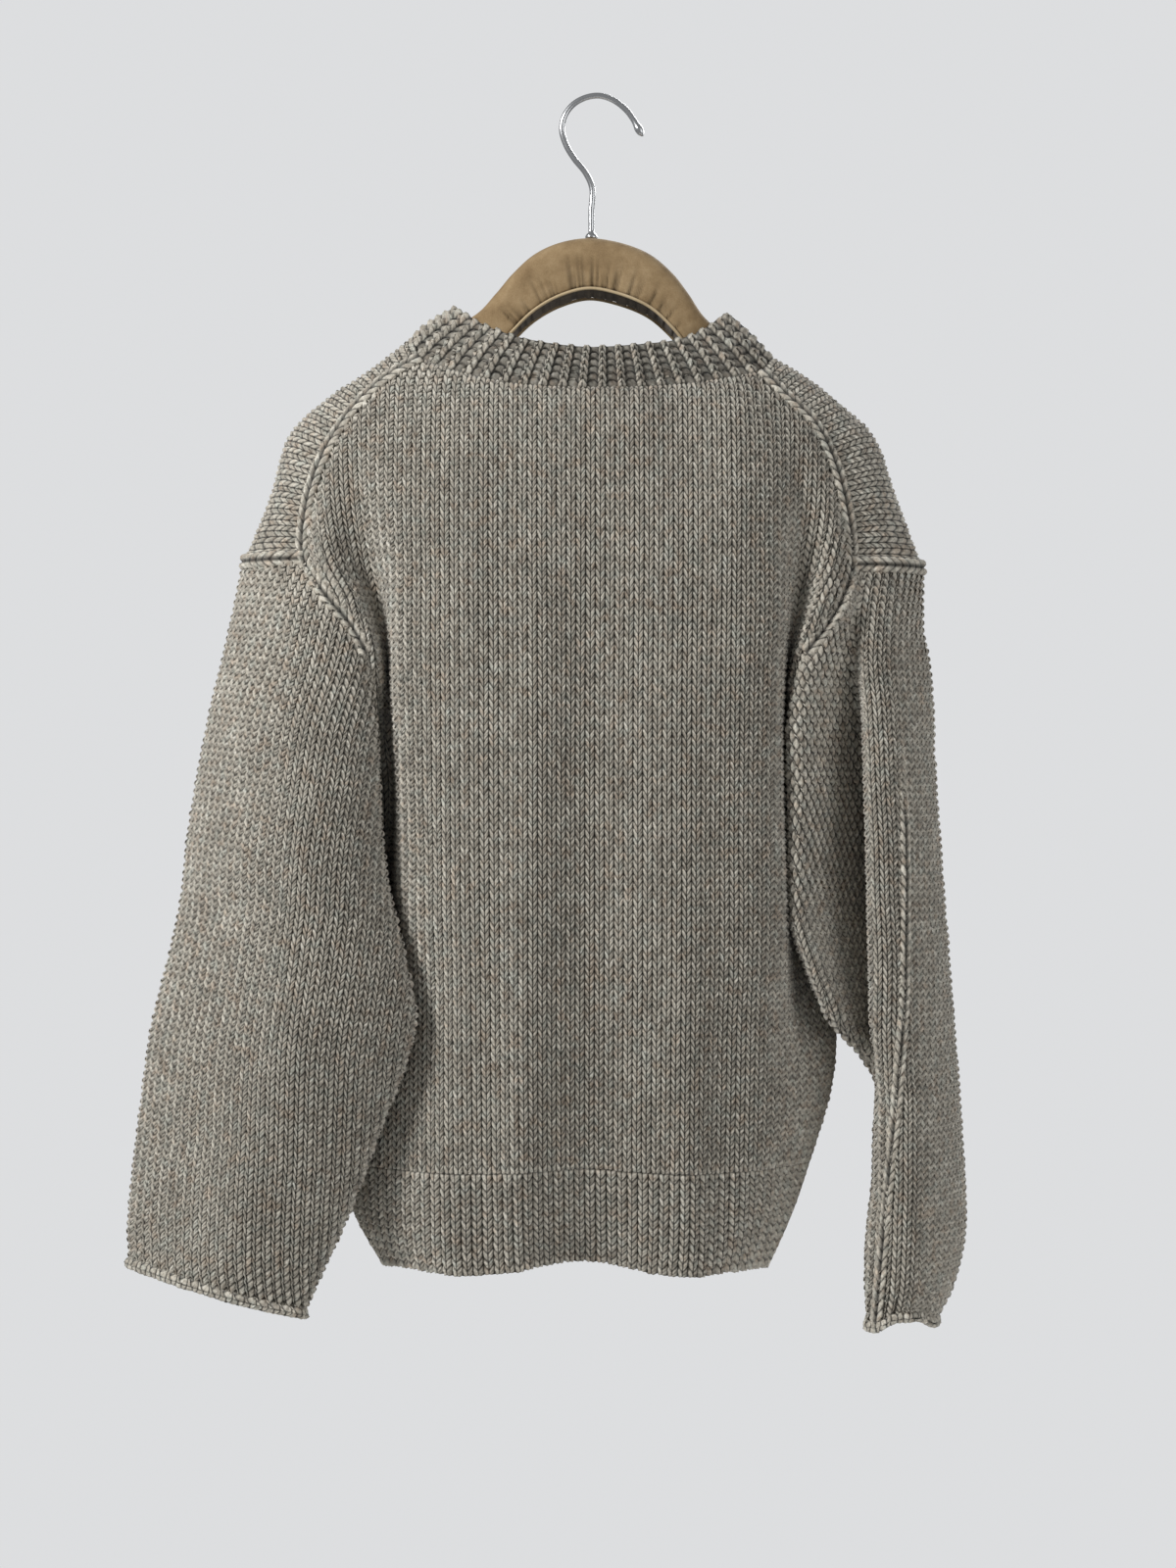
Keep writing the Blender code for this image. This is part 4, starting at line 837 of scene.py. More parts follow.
def shell(name, form, lattices, thickness, finish):
    """A thin knitted piece: the raised outside, a plain inside and the rims between them."""
    kept = slice(None, None, INNER_ROWS), slice(None, None, INNER_COLUMNS)
    inner = form.surface[kept] - form.out[kept] * thickness
    wide = lattices[0].stitch[..., 0].min(), lattices[-1].stitch[..., 0].max()
    tall = 0, form.courses[-1]
    # The plain inside gets an even stitch map, so the knit material's painted shade draws a grid of slits
    # on it
    stitch = np.meshgrid(np.linspace(*wide, inner.shape[1]), np.linspace(*tall, inner.shape[0]))
    grids = [(lattice.points, lattice.out, lattice.stitch) for lattice in lattices]
    grids.append((inner, -form.out[kept], np.stack(stitch, axis=-1)))
    closed = np.flatnonzero(meets(form.surface))
    last = closed[0] + 1 if len(closed) else len(form.surface)
    inner_rows = np.rint(np.arange(last) / INNER_ROWS).astype(int)
    for lattice, end, inside in ((lattices[0], 0, 1), (lattices[-1], -1, -2)):
        away = form.surface[:last, end] - form.surface[:last, inside]
        add_rim(grids, lattice.points[:last, end], inner[inner_rows, end], away, lattice.stitch[:last, end])
    for lattice in lattices:
        for end, inside in ((0, 3), (-1, -4)):
            away = lattice.points[end] - lattice.points[inside]
            columns = np.rint(lattice.ends[end] / INNER_COLUMNS).astype(int)
            add_rim(grids, lattice.points[end], inner[end, columns], away, lattice.stitch[end])
    return mesh_piece(name, grids, finish)


def add_rim(grids, outer, inner, away, stitch):
    """Join the border of the outside to the border of the inside."""
    places = np.stack([stitch, stitch + (0, RIM_TURN)])
    grids.append((np.stack([outer, inner]), np.stack([away, away]), places))


def settle(bm, mesh):
    """Write a bmesh to its mesh and let it go."""
    bm.to_mesh(mesh)
    bm.free()


def add_object(name, data):
    """A new object in the scene."""
    obj = bpy.data.objects.new(name, data)
    bpy.context.scene.collection.objects.link(obj)
    return obj


def mesh_piece(name, grids, finish):
    """One object from several grids: for each, its points, the way it faces and its stitch places."""
    bm = bmesh.new()
    ready = []
    for number, (points, faces, stitch) in enumerate(grids):
        rows, columns = points.shape[:2]
        down = points[1:, :-1] - points[:-1, :-1]
        across = points[:-1, 1:] - points[:-1, :-1]
        if (np.cross(down, across) * faces[:-1, :-1]).sum() < 0:
            points, stitch = points[:, ::-1], stitch[:, ::-1]
        ready.append((points, stitch))
        bmesh.ops.create_grid(bm, x_segments=columns - 1, y_segments=rows - 1, size=1.0,
                              matrix=Matrix.Translation((0, 0, GRID_GAP * number)))
    mesh = bpy.data.meshes.new(name)
    settle(bm, mesh)
    place_points(mesh, ready)
    bm = bmesh.new()
    bm.from_mesh(mesh)
    bmesh.ops.remove_doubles(bm, verts=bm.verts[:], dist=WELD)
    settle(bm, mesh)
    mesh.shade_smooth()
    mesh.materials.append(finish)
    obj = add_object(name, mesh)
    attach(obj, "root")
    return obj


def place_points(mesh, grids):
    """Move the corners of plain grids to their points, and lay out the stitch and bake maps."""
    flat = np.empty(len(mesh.vertices) * 3)
    mesh.vertices.foreach_get("co", flat)
    flat = flat.reshape(-1, 3)
    number = np.rint(flat[:, 2] / GRID_GAP).astype(int)
    stitch = np.zeros((len(flat), 2))
    bake = np.zeros((len(flat), 2))
    areas = bake_areas(grids)
    for i, (points, places) in enumerate(grids):
        own = np.flatnonzero(number == i)
        rows, columns = points.shape[:2]
        column = np.rint((flat[own, 0] + 1) / 2 * (columns - 1)).astype(int)
        row = np.rint((1 - flat[own, 1]) / 2 * (rows - 1)).astype(int)
        across, along = column / (columns - 1), row / (rows - 1)
        if rows == 2:
            across, along = along, across
        x0, y0, x1, y1 = areas[i]
        bake[own, 0] = x0 + (x1 - x0) * across
        bake[own, 1] = y1 - (y1 - y0) * along
        stitch[own] = places[row, column]
        flat[own] = points[row, column] * MM
    mesh.vertices.foreach_set("co", flat.ravel())
    loops = np.empty(len(mesh.loops), dtype=int)
    mesh.loops.foreach_get("vertex_index", loops)
    for title, values in (("knit", stitch), ("OFBake", bake)):
        layer = mesh.uv_layers.new(name=title)
        layer.uv.foreach_set("vector", values[loops].ravel())


def bake_areas(grids):
    """A part of the unit square for each grid: large ones side by side, rims in a narrow column."""
    large = [i for i, (points, _) in enumerate(grids) if min(points.shape[:2]) > 2]
    rims = [i for i in range(len(grids)) if i not in large]
    sizes = np.array([grids[i][0].shape[0] * grids[i][0].shape[1] for i in large], dtype=float) ** 0.5
    ends = np.concatenate([[0.0], np.cumsum(sizes / sizes.sum())]) * (BAKE_LARGE if rims else 1.0)
    areas = {}
    for i, low, high in zip(large, ends, ends[1:]):
        areas[i] = (low + BAKE_MARGIN, BAKE_MARGIN, high - BAKE_MARGIN, 1 - BAKE_MARGIN)
    for k, i in enumerate(rims):
        low = RIM_START + RIM_REACH * k / len(rims)
        areas[i] = (low, BAKE_MARGIN, low + RIM_WIDTH / len(rims), 1 - BAKE_MARGIN)
    return areas


def knitted(title, node, form, lattices, finish, wall=WALL):
    """A knitted piece made as the sheet that stands for its node, whose solid is then hidden."""
    piece = shell(title, form, lattices, wall, finish)
    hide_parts(node)


def build_panels(forms, knit, rib):
    """Back, fronts and their hem ribs."""
    middle = sum(BACK_SEGMENTS[:4]) * FINER
    corner = FRONT_SEGMENTS[0] * FINER
    panels = (("back", 1, middle, BACK_CREASES), ("front_left", -1, corner, FRONT_CREASES),
              ("front_right", 1, corner, FRONT_CREASES))
    for seed, (name, side, reference, creases) in enumerate(panels):
        rows = forms[name]
        body = Form(rows, side, reference, BODY_COURSE, (0, RIB_TOP), (0.0, -1.0), creases=creases)
        loops = Lattice(body, reference, BODY_WALE, STOCKING, BODY_RELIEF, SEEDS["body"] + seed)
        knitted("knit_" + name, name, body, [loops], knit)
        hem = Form(rows, side, reference, BODY_COURSE, (RIB_TOP, HEM), creases=creases)
        loops = Lattice(hem, reference, HEM_PAIR, HEM_RIB, HEM_RELIEF, SEEDS["hem"] + seed)
        knitted("ribbing_hem_" + name, "hem_rib_" + name, hem, [loops], rib)


def build_saddles(forms, knit):
    """The saddles, whose wales run over the shoulder from the back seam to the front one."""
    for seed, (name, side) in enumerate((("saddle_left", 1), ("saddle_right", -1))):
        along = rows_between(forms[name], np.linspace(0, SHOULDER_END, SADDLE_STEPS * SHOULDER_END + 1))
        form = Form(along.transpose(1, 0, 2), side, SADDLE_STEPS, BODY_COURSE)
        pitch = round(form.width / SADDLE_WALE)
        loops = Lattice(form, 0, SADDLE_WALE, STOCKING, SADDLE_RELIEF, SEEDS["saddle"] + seed, count=pitch)
        knitted("knit_" + name, name, form, [loops], knit)


def build_sleeves(forms, knit):
    """The sleeves: the left one in one lattice, the right one in two that meet in its deep crease."""
    ring_row = ARMPIT - SHOULDER_END
    outer = sum(LEFT_SLEEVE_SEGMENTS[:3]) * FINER
    form = Form(forms["sleeve_left"], -1, outer, BODY_COURSE, None, LEFT_SLEEVE_WAY, ring_row,
                LEFT_SLEEVE_CREASES)
    loops = Lattice(form, outer, SLEEVE_WALE, STOCKING, BODY_RELIEF, SEEDS["sleeve"])
    cuff = build_cuff("left", form, knit, SEEDS["cuff"])
    knitted("knit_sleeve_left", "sleeve_left", form, [loops], knit)
    crease = sum(RIGHT_SLEEVE_SEGMENTS[:3]) * FINER
    strip = sum(RIGHT_SLEEVE_SEGMENTS[3:5]) * FINER
    turned = Form(forms["sleeve_right"], 1, crease + strip, BODY_COURSE, None, RIGHT_SLEEVE_WAY, ring_row,
                  RIGHT_SLEEVE_CREASES, True)
    flap = Lattice(turned, -1, SLEEVE_WALE, STOCKING, BODY_RELIEF, SEEDS["sleeve"] + 1,
                   slice(0, crease + 1), FLAP_DRIFT)
    outside = Lattice(turned, strip, SLEEVE_WALE, STOCKING, BODY_RELIEF, SEEDS["sleeve"] + 2,
                      slice(crease, None))
    cuff = build_cuff("right", turned, knit, SEEDS["cuff"] + 1)
    seam = turned_seam(turned, crease, knit)
    knitted("knit_sleeve_right", "sleeve_right", turned, [flap, outside], knit, wall=FOLDED_WALL)


def build_bands(forms, rib):
    """Neck band and front bands, ribbed from the edge that they trim to their free edge."""
    half = SADDLE_SEGMENTS // 2 * FINER
    left, right = forms["saddle_left"][0], forms["saddle_right"][0]
    stretches = (
        ("front_band_left", np.vstack([forms["front_left"][::-1, -1], left[:half - 1:-1]]),
         ((BAND_PEAK_LEFT,) + BAND_LEFT_FRONT)[::-1]),
        ("neck_band", np.vstack([left[half::-1], forms["back"][0], right[:half + 1]]),
         (BAND_PEAK_LEFT,) + BAND_BACK + (BAND_PEAK_RIGHT,)),
        ("front_band_right", np.vstack([right[half:], forms["front_right"][:, -1]]),
         (BAND_PEAK_RIGHT,) + BAND_RIGHT_FRONT),
    )
    for seed, (name, base, route) in enumerate(stretches):
        free = smooth_curve(route, (BAND_STEPS,) * (len(route) - 1))
        pairs = round(reach_along(base)[-1] / NECK_PAIR)
        shares = np.linspace(0.0, 1.0, BAND_COLUMNS * pairs + 1)
        low = spread(base, base, shares)
        high = spread(free, free, shares)
        out = facing_out(np.stack([low, (low + high) / 2, high]), -1)
        rows = np.stack([low, (low + high) / 2 + out[1] * BAND_SWELL, high])
        form = Form(rows, -1, BAND_COLUMNS // 2 * pairs, BODY_COURSE)
        loops = Lattice(form, 0, NECK_PAIR, NECK_RIB, NECK_RELIEF, SEEDS["band"] + seed, count=pairs)
        knitted("ribbing_" + name, name, form, [loops], rib)


def braid(name, path, out, finish, seed, width=BRAID_WIDTH, sink=0.0, rise=0.0):
    """A chain of large stitches that stands along a seam, sunk a little, and rising at its start."""
    reach = reach_along(path)
    shares = np.linspace(0.0, 1.0, max(BRAID_FEWEST, int(reach[-1] / BRAID_STEP)))
    path, out = spread(path, path, shares), unit(spread(path, out, shares))
    aside = unit(np.cross(unit(np.gradient(path, axis=0)), out))
    buried = sink
    if rise:
        buried = sink + TURNED_DEPTH * np.clip(1 - reach_along(path) / rise, 0, 1)[:, None]
    columns = [path + aside * across * width + out * (height - buried) for across, height in BRAID_SECTION]
    form = Form(np.stack(columns, axis=1), -1, len(columns) // 2, BRAID_COURSE)
    loops = Lattice(form, 0, width, BRAID, BRAID_RELIEF, seed, fade=BRAID_FADE, count=1)
    piece = shell(name, form, [loops], BRAID_WALL, finish)
    return piece


def build_braids(forms, knit):
    """The chains along the saddle seams, the armholes and the saddles' ends."""
    for side, column, turn in (("left", 0, -1), ("right", -1, 1)):
        back, front = forms["back"], forms["front_" + side]
        saddle, sleeve = forms["saddle_" + side], forms["sleeve_" + side]
        back_out, front_out = facing_out(back, 1), facing_out(front, turn)
        saddle_out, sleeve_out = facing_out(saddle, turn), facing_out(sleeve, turn)
        stops = np.linspace(0, ARMPIT, BRAID_STOPS)
        armholes = ((back, back_out, column, 0, "back"), (front, front_out, 0, -1, "front"))
        for panel, own, edge, end, name in armholes:
            way = own[:ARMPIT + 1, edge].copy()
            way[:SHOULDER_END + 1] += saddle_out[:, end]
            way[SHOULDER_END:] += sleeve_out[:ARMPIT - SHOULDER_END + 1, end]
            path = rows_between(panel[:ARMPIT + 1, [edge]], stops)[:, 0]
            ways = rows_between(unit(way)[:, None], stops)[:, 0]
            seen = path[:, 2] > SEAM_FOOT
            braid("seam_" + name + "_" + side, path[seen], ways[seen], knit, SEEDS["seam"])
        end_out = unit(saddle_out[-1] * SADDLE_END_WAY)
        braid("seam_saddle_" + side, saddle[-1], end_out, knit, SEEDS["seam"] + 2)


def turned_seam(form, crease, knit):
    """The sleeve seam that shows on the turned sleeve."""
    visible = sum(RIGHT_SLEEVE_SEGMENTS[3:6]) * FINER
    surface = form.surface[:, crease:crease + visible + 1]
    out = form.out[:, crease:crease + visible + 1]
    xs, zs = np.array(TURNED_SEAM, dtype=float).T
    path, ways = [], []
    for row, way in zip(surface[::2], out[::2]):
        level = row[visible // 2, 2]
        if level > zs[0] or level < zs[-1]:
            continue
        first = int(np.argmin(row[:, 0]))
        place = np.interp(np.interp(-level, -zs, xs), row[first:, 0], np.arange(first, len(row)))
        numbers = np.arange(len(row))
        path.append(read_at(place, numbers, row))
        ways.append(read_at(place, numbers, way))
    return braid("seam_sleeve_right", np.array(path), np.array(ways), knit, SEEDS["seam"] + 4,
                 TURNED_WIDTH, TURNED_SINK, TURNED_RISE)


def build_cuff(side, form, knit, seed):
    """The rolled edge of a sleeve, which shows the back of the knitting."""
    ring, way = form.surface[-1], form.out[-1]
    route = ring + way * CUFF_OUT + (0.0, 0.0, CUFF_UP)
    angles = np.linspace(0.0, 2 * math.pi, CUFF_SIDES + 1)[:, None, None]
    out = way[None] * np.cos(angles) + np.array((0.0, 0.0, 1.0)) * np.sin(angles)
    grid = route[None] + out * CUFF_RADIUS
    roll = Form(grid, 1 if side == "left" else -1, 0, CUFF_COURSE)
    pitch = round(reach_along(route)[-1] / CUFF_WALE)
    loops = Lattice(roll, 0, CUFF_WALE, PURL, CUFF_RELIEF, seed, fade=CUFF_FADE, count=pitch)
    middle = spread(route, route, np.linspace(0, 1, loops.points.shape[1]))
    outside = loops.points, loops.points - middle[None], loops.stitch
    piece = mesh_piece("cuff_roll_" + side, [outside], knit)
    return piece


def hanger_sections(forms):
    """Sections of the hanger from tip to tip: x, top, underside and half depth."""
    arms = []
    half = SADDLE_SEGMENTS // 2 * FINER
    for name, side, turn in (("saddle_left", -1, 1), ("saddle_right", 1, -1)):
        out = facing_out(forms[name], side)
        under = forms[name][:, half] - out[:, half] * (WALL + HANGER_CLEARANCE)
        arm = []
        for station, (height, half_depth, drop, short) in enumerate(HANGER_SHOULDER):
            x, _, z = under[station]
            arm.append((x + turn * short, z - drop, z - drop - height, half_depth))
        arms.append(arm)
    return np.array(arms[0][::-1] + list(HANGER_ARCH) + arms[1], dtype=float)


def build_hanger(forms, cover, welt):
    """The covered hanger: flat-bottomed at the arch, with wrinkles drawn towards the welt there."""
    sections = hanger_sections(forms)
    fine = smooth_curve(sections, (HANGER_STEPS,) * (len(sections) - 1))
    angle = np.linspace(0.0, 2 * math.pi, HANGER_FINE * HANGER_SIDES + 1)
    shares = np.linspace(0.0, 1.0, HANGER_SIDES + 1)
    rng = np.random.default_rng(SEEDS["cover"])
    wrinkles = [(rng.uniform(*WRINKLE_PLACES), rng.uniform(*WRINKLE_WIDTHS),
                 rng.uniform(*WRINKLE_DEPTHS) * WRINKLE_DEEPEST, rng.uniform(*WRINKLE_LENGTHS))
                for _ in range(WRINKLES)]
    grid, low = [], []
    for x, top, bottom, depth in fine:
        blend = np.clip((abs(x - ARCH_X) - ARCH_REACH) / ARCH_BLEND, 0, 1)
        crown = CROWN_FULLNESS + (1 - CROWN_FULLNESS) * blend
        foot = FOOT_FULLNESS + (1 - FOOT_FULLNESS) * blend
        power = np.where(np.sin(angle) < 0, foot, crown)
        across, up = (np.sign(wave) * np.abs(wave) ** power for wave in (np.cos(angle), np.sin(angle)))
        level = (top + bottom) / 2 + up * (top - bottom) / 2
        ring = np.stack([np.full_like(angle, x), across * depth, level], axis=1)
        ring = spread(ring, ring, shares)
        grid.append(ring)
        low.append((1 - (ring[:, 2] - bottom) / (top - bottom)) * (1 - blend))
    grid, low = np.array(grid), np.array(low)
    centre = grid[:, :-1].mean(axis=1)[:, None]
    out = unit(grid - centre)
    bearing = np.arctan2(grid[..., 0] - ARCH_X, grid[..., 2] - ARCH_Z)
    relief = np.zeros(grid.shape[:2])
    for place, width, deep, length in wrinkles:
        drawn = np.clip((low - 1 + length) / length * WRINKLE_STEEPNESS, 0, 1)
        relief += deep * drawn * np.exp(-((bearing - place) / width) ** 2)
    relief = np.minimum(relief, WRINKLE_DEEPEST)
    # Where the painted shade of the underside lies
    under = np.clip((low - UNDERSIDE) / UNDERSIDE_BLEND, 0, 1)
    grid = grid - out * relief[..., None]
    tips = [(centre[end] + (step, 0.0, 0.0))[None].repeat(grid.shape[1], axis=1)
            for end, step in ((0, -TIP_ROUND), (-1, TIP_ROUND))]
    grid = np.concatenate([tips[0], grid, tips[1]])
    faces = np.concatenate([out[:1], out, out[-1:]])
    stitch = np.zeros(grid.shape[:2] + (2,))
    # The cover's knit map carries its painted shade: how deep each wrinkle lies, and the underside
    stitch[1:-1] = np.stack([relief / WRINKLE_DEEPEST, under], axis=-1)
    piece = mesh_piece("hanger_cover", [(grid, faces, stitch)], cover)
    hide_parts("hanger")
    arch = fine[np.abs(fine[:, 0] - ARCH_X) < ARCH_REACH - WELT_SHORT]
    for name, face in (("back", -1), ("front", 1)):
        route = np.column_stack([arch[:, 0], face * (arch[:, 3] - WELT_SUNK), arch[:, 2] + WELT_RISE])
        radii = np.full(len(route), WELT_RADIUS)
        radii[[0, -1]] = POINT_RADIUS
        edge = mesh_piece("hanger_welt_" + name, [tube(route, radii, WELT_SIDES)], welt)


def tube(route, radii, sides):
    """A grid of rings round a route that bends in a plane of constant depth."""
    forward = unit(np.gradient(route, axis=0))
    first = unit(np.cross(forward, (0.0, 1.0, 0.0)))
    second = np.cross(first, forward)
    angle = np.linspace(0.0, 2 * math.pi, sides + 1)[None, :, None]
    out = first[:, None] * np.cos(angle) + second[:, None] * np.sin(angle)
    return route[:, None] + out * radii[:, None, None], out, np.zeros(out.shape[:2] + (2,))


def build_hook(steel):
    """The wire hook with its collar and ball tip."""
    collar = np.array(HOOK_COLLAR, dtype=float)
    stops = [(x, z, WIRE_RADIUS) for x, z in HOOK_WIRE] + list(HOOK_BALL)
    wire = smooth_curve(stops, (WIRE_STEPS,) * (len(stops) - 1))
    rows = np.vstack([collar[:1], collar.repeat(2, axis=0), wire, wire[-1:]])
    rows[-1, :2] += BALL_END
    rows[[0, -1], 2] = POINT_RADIUS
    rows = rows[np.concatenate([[True], np.linalg.norm(np.diff(rows, axis=0), axis=1) > 1e-6])]
    route = np.column_stack([rows[:, 0], np.zeros(len(rows)), rows[:, 1]])
    piece = mesh_piece("hook_wire", [tube(route, rows[:, 2], WIRE_SIDES)], steel)
    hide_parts("hook")


class Value:
    """A socket that arithmetic works on, each step a Math node."""

    def __init__(self, finish, socket):
        self.finish = finish
        self.socket = socket

    def math(self, operation, *values):
        """A Math node with this operation on these values."""
        return self.finish.node("ShaderNodeMath", {"operation": operation}, *values)

    def __add__(self, other):
        return self.math("ADD", self, other)

    def __radd__(self, other):
        return self.math("ADD", other, self)

    def __sub__(self, other):
        return self.math("SUBTRACT", self, other)

    def __rsub__(self, other):
        return self.math("SUBTRACT", other, self)

    def __mul__(self, other):
        return self.math("MULTIPLY", self, other)

    def __rmul__(self, other):
        return self.math("MULTIPLY", other, self)

    def floor(self):
        return self.math("FLOOR", self)

    def fraction(self):
        return self.math("FRACT", self)

    def absolute(self):
        return self.math("ABSOLUTE", self)

    def sine(self):
        return self.math("SINE", self)

    def between(self, low, high):
        """Smooth step from 0 at low to 1 at high."""
        settings = {"interpolation_type": "SMOOTHSTEP"}
        return self.finish.node("ShaderNodeMapRange", settings, self, low, high, 0.0, 1.0)


class Finish:
    """A material in the making, with its shader."""

    def __init__(self, name, **constants):
        self.material = bpy.data.materials.new(name)
        self.material.use_nodes = True
        self.tree = self.material.node_tree
        self.shader = self.tree.nodes["Principled BSDF"]
        for title, value in constants.items():
            self.shader.inputs[title.replace("_", " ")].default_value = value

    def node(self, kind, settings, *values, output=0, **named):
        """Add a node: its settings first, then values or links for its sockets, in order or by name."""
        made = self.tree.nodes.new(kind)
        for name, value in settings.items():
            if name == "stops":
                self.set_ramp(made.color_ramp, value)
            else:
                setattr(made, name, value)
        sockets = list(zip(made.inputs, values))
        for title, value in named.items():
            sockets.append((next(s for s in made.inputs if title in (s.name, s.identifier)), value))
        for socket, value in sockets:
            if isinstance(value, Value):
                self.tree.links.new(value.socket, socket)
            elif value is not None:
                socket.default_value = value
        outputs = [s for s in made.outputs if s.enabled]
        return Value(self, outputs[output])

    @staticmethod
    def set_ramp(ramp, stops):
        """Give a colour ramp its stops: place and colour."""
        while len(ramp.elements) < len(stops):
            ramp.elements.new(0.5)
        for element, (place, color) in zip(ramp.elements, stops):
            element.position = place
            element.color = (*color, 1.0)

    def mix(self, share, first, second, mode="MIX"):
        """Two colours mixed by a share."""
        settings = {"data_type": "RGBA", "blend_type": mode}
        return self.node("ShaderNodeMix", settings, Factor_Float=share, A_Color=first, B_Color=second)

    def feed(self, title, value):
        """Link a value to one of the shader's sockets."""
        self.tree.links.new(value.socket, self.shader.inputs[title])

    def noise(self, spot, scale, detail, roughness=0.5):
        """Noise in the piece's own coordinates."""
        sockets = {"Vector": spot, "Scale": scale, "Detail": detail, "Roughness": roughness}
        return self.node("ShaderNodeTexNoise", {}, **sockets)

    def places(self):
        """Both channels of the knit map."""
        first = self.node("ShaderNodeSeparateXYZ", {}, self.node("ShaderNodeUVMap", {"uv_map": "knit"}))
        return first, Value(self, first.socket.node.outputs[1])

    def feed_shaded(self, color, painted_shade):
        """Feed the base colour, darkened by its painted shade."""
        grey = self.node("ShaderNodeCombineXYZ", {}, painted_shade, painted_shade, painted_shade)
        self.feed("Base Color", self.mix(1.0, color, grey, "MULTIPLY"))


def knit_material(name, tones):
    """Heathered wool: each leg of yarn has its own tone and plies run round it; painted shade darkens its
    sides and ends, the slits between stitches.
    """
    wool = Finish(name, Roughness=0.92, Sheen_Weight=0.2, Sheen_Roughness=0.6, Specular_IOR_Level=0.2)
    leg, course = wool.places()
    own = wool.node("ShaderNodeCombineXYZ", {}, leg.floor(), course.floor(), 0.5)
    chance = wool.node("ShaderNodeTexWhiteNoise", {"noise_dimensions": "3D"}, Vector=own)
    spot = wool.node("ShaderNodeTexCoord", {}, output=3)
    fibres = wool.noise(spot, FIBRE_SCALE, 3.0, 0.7)
    tint = wool.noise(spot, TINT_SCALE, 1.0)
    fleck_share, own_share, cloud_share = TONE_SHARES
    tone = wool.noise(spot, FLECK_SCALE, 2.0, 0.6) * fleck_share + chance * own_share
    tone = tone + wool.noise(spot, CLOUD_SCALE, 2.0) * cloud_share
    color = wool.node("ShaderNodeValToRGB", {"stops": tones}, tone)
    for share, shift in ((tint.between(0.55, 0.72), WARM_TONE), (tint.between(0.45, 0.30), COOL_TONE)):
        color = wool.mix(share, color, wool.mix(1.0, color, (*shift, 1.0), "MULTIPLY"))
    # Painted shade in the slits between legs: darker towards a leg's sides and ends, darkest where both
    # meet
    aside = ((leg.fraction() - 0.5).absolute() * 2).between(0.5, 1.0)
    ends = ((course.fraction() - 0.5).absolute() * 2).between(0.55, 1.0)
    side_painted_shade, end_painted_shade, corner_painted_shade = PAINTED_LEG_SHADES
    painted_shade = (1 - aside * side_painted_shade) * (1 - ends * end_painted_shade) * (1 - aside * ends * corner_painted_shade)
    wool.feed_shaded(color, painted_shade * (0.86 + fibres * 0.5))
    turns_across, turns_along = PLY_TURNS
    ply = (leg * turns_across + course * turns_along).sine() * 0.5 + 0.5
    bump = wool.node("ShaderNodeBump", {}, Strength=0.6, Distance=0.0007, Height=ply * 0.5 + fibres * 0.9)
    wool.feed("Normal", bump)
    return wool.material


def cover_material(name, tones):
    """Suede-like cover: tan, mottled, with a fine grain, with painted shade in its wrinkles and underneath.
    """
    suede = Finish(name, Roughness=0.85, Sheen_Weight=0.08, Sheen_Roughness=0.5, Specular_IOR_Level=0.2)
    spot = suede.node("ShaderNodeTexCoord", {}, output=3)
    mottling = suede.noise(spot, MOTTLE_SCALE, 4.0, 0.6)
    grain = suede.noise(spot, GRAIN_SCALE, 3.0, 0.6)
    color = suede.node("ShaderNodeValToRGB", {"stops": tones}, mottling * 0.7 + grain * 0.3)
    wrinkle_shade_mask, under = suede.places()
    # Painted shade: darker in the wrinkles and on the underside
    suede.feed_shaded(color, (1 - wrinkle_shade_mask * WRINKLE_PAINTED_SHADE) * (1 - under * UNDERSIDE_PAINTED_SHADE))
    bump = suede.node("ShaderNodeBump", {}, Strength=0.4, Distance=0.0004, Height=grain + mottling * 0.5)
    suede.feed("Normal", bump)
    return suede.material


def steel_material():
    """Polished wire with faint drawing marks."""
    steel = Finish("polished_steel", Metallic=1.0, Base_Color=(*STEEL_COLOR, 1.0))
    marks = steel.noise(steel.node("ShaderNodeTexCoord", {}, output=3), STEEL_SCALE, 2.0)
    steel.feed("Roughness", marks * 0.14 + 0.2)
    return steel.material


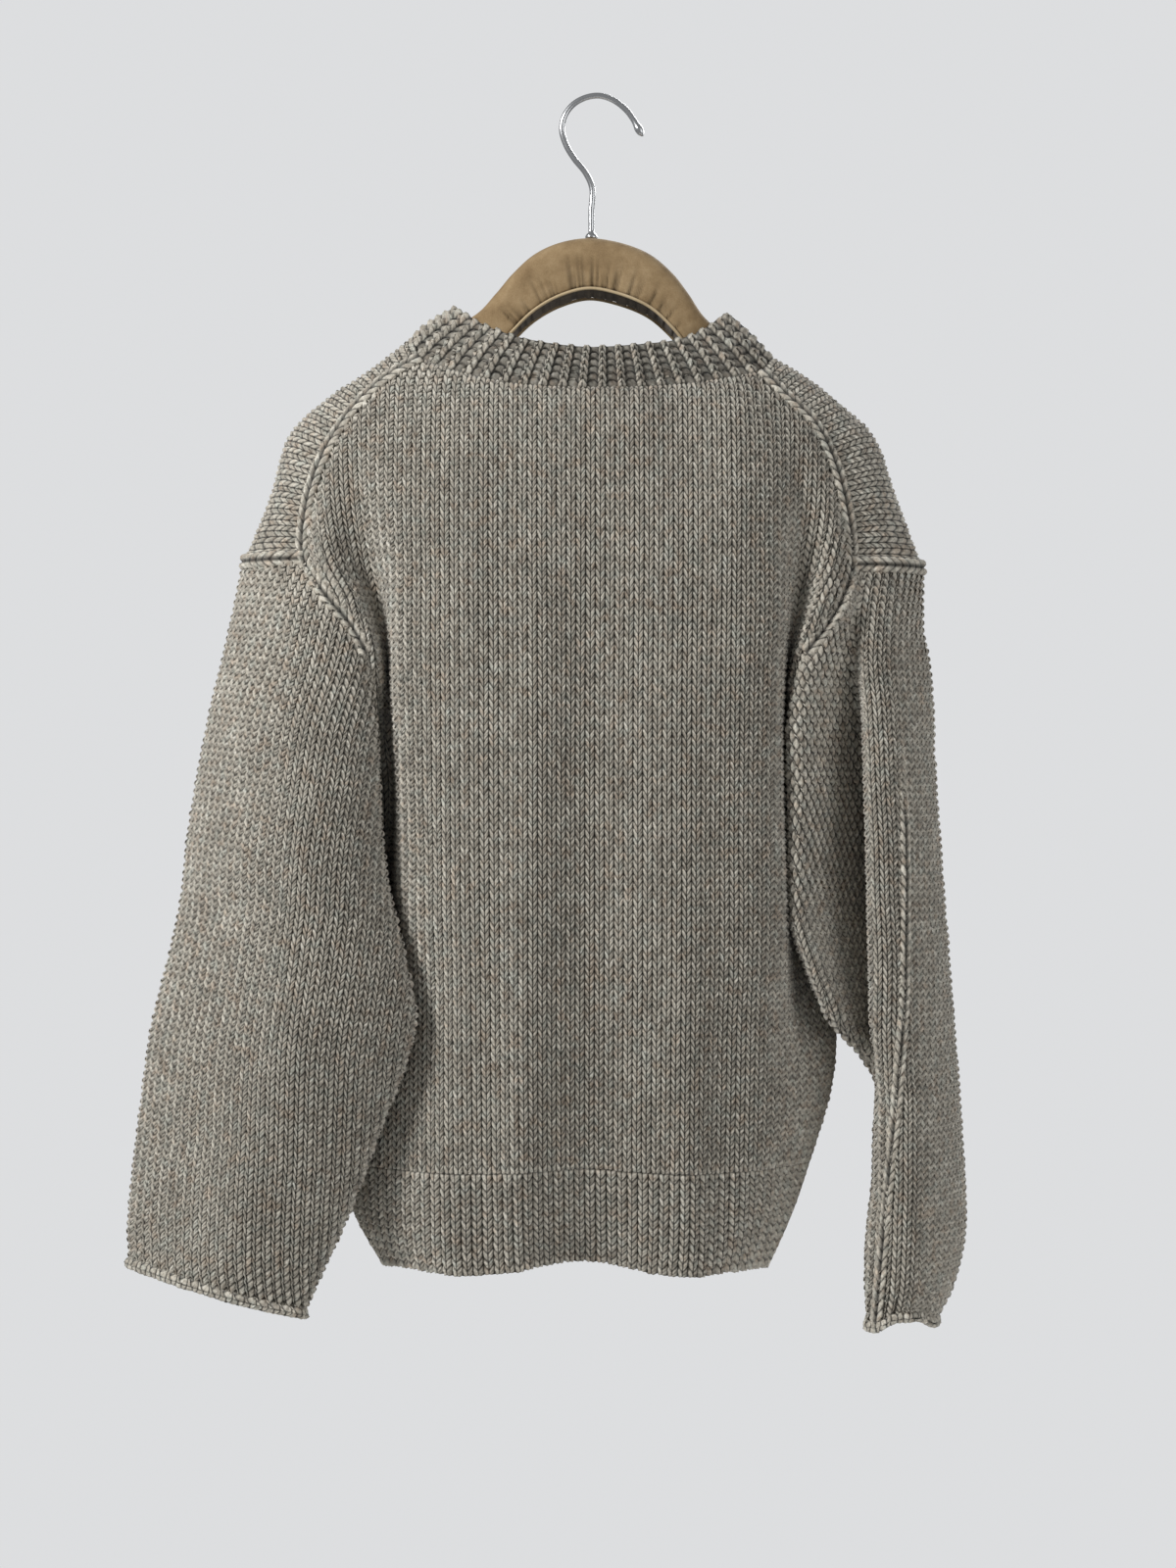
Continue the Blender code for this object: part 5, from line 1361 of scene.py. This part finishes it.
def light(name, place, aim, size, power):
    """A soft square lamp."""
    data = bpy.data.lights.new(name, "AREA")
    data.size = size
    data.energy = power
    lamp = add_object(name, data)
    lamp.location = place
    x, y, z = np.array(aim, dtype=float) - np.array(place, dtype=float)
    lamp.rotation_euler = (math.atan2(math.hypot(x, y), -z), 0.0, math.atan2(-x, y))


def studio():
    """Pale room and floor, soft lamps from the upper left, and the photograph's camera."""
    scene = bpy.context.scene
    scene.view_settings.view_transform = "Standard"
    world = bpy.data.worlds.new("pale_room")
    world.use_nodes = True
    background = world.node_tree.nodes["Background"]
    background.inputs["Color"].default_value = (*ROOM_COLOR, 1.0)
    seen = world.node_tree.nodes.new("ShaderNodeLightPath").outputs["Is Camera Ray"]
    strength = world.node_tree.nodes.new("ShaderNodeMapRange")
    strength.inputs["To Min"].default_value = ROOM_STRENGTH
    world.node_tree.links.new(seen, strength.inputs["Value"])
    world.node_tree.links.new(strength.outputs["Result"], background.inputs["Strength"])
    scene.world = world
    bm = bmesh.new()
    bmesh.ops.create_grid(bm, x_segments=1, y_segments=1, size=FLOOR_REACH,
                          matrix=Matrix.Translation((0, 0, FLOOR_Z)))
    mesh = bpy.data.meshes.new("floor")
    settle(bm, mesh)
    floor = add_object("floor", mesh)
    mesh.materials.append(Finish("pale_floor", Roughness=0.8, Base_Color=(*FLOOR_COLOR, 1.0)).material)
    for lamp in LAMPS:
        light(*lamp)
    data = bpy.data.cameras.new("camera")
    data.sensor_fit = "VERTICAL"
    data.sensor_height = 36.0
    data.lens = data.sensor_height * CAMERA_DISTANCE / FRAME_HEIGHT
    camera = add_object("camera", data)
    camera.location = (CAMERA_X, -CAMERA_DISTANCE, CAMERA_Z)
    camera.rotation_euler = (math.pi / 2, 0.0, 0.0)
    scene.camera = camera


def main():
    """Build every piece, then the studio round it."""
    knit = knit_material("heather_wool", WOOL_TONES)
    rib = knit_material("heather_wool_rib", RIB_TONES)
    forms = body_forms()
    cover = cover_material("suede_cover", COVER_TONES)
    build_hanger(forms, cover, cover_material("suede_welt", WELT_TONES))
    build_hook(steel_material())
    build_panels(forms, knit, rib)
    build_saddles(forms, knit)
    build_sleeves(forms, knit)
    build_bands(forms, rib)
    build_braids(forms, knit)
    studio()


main()
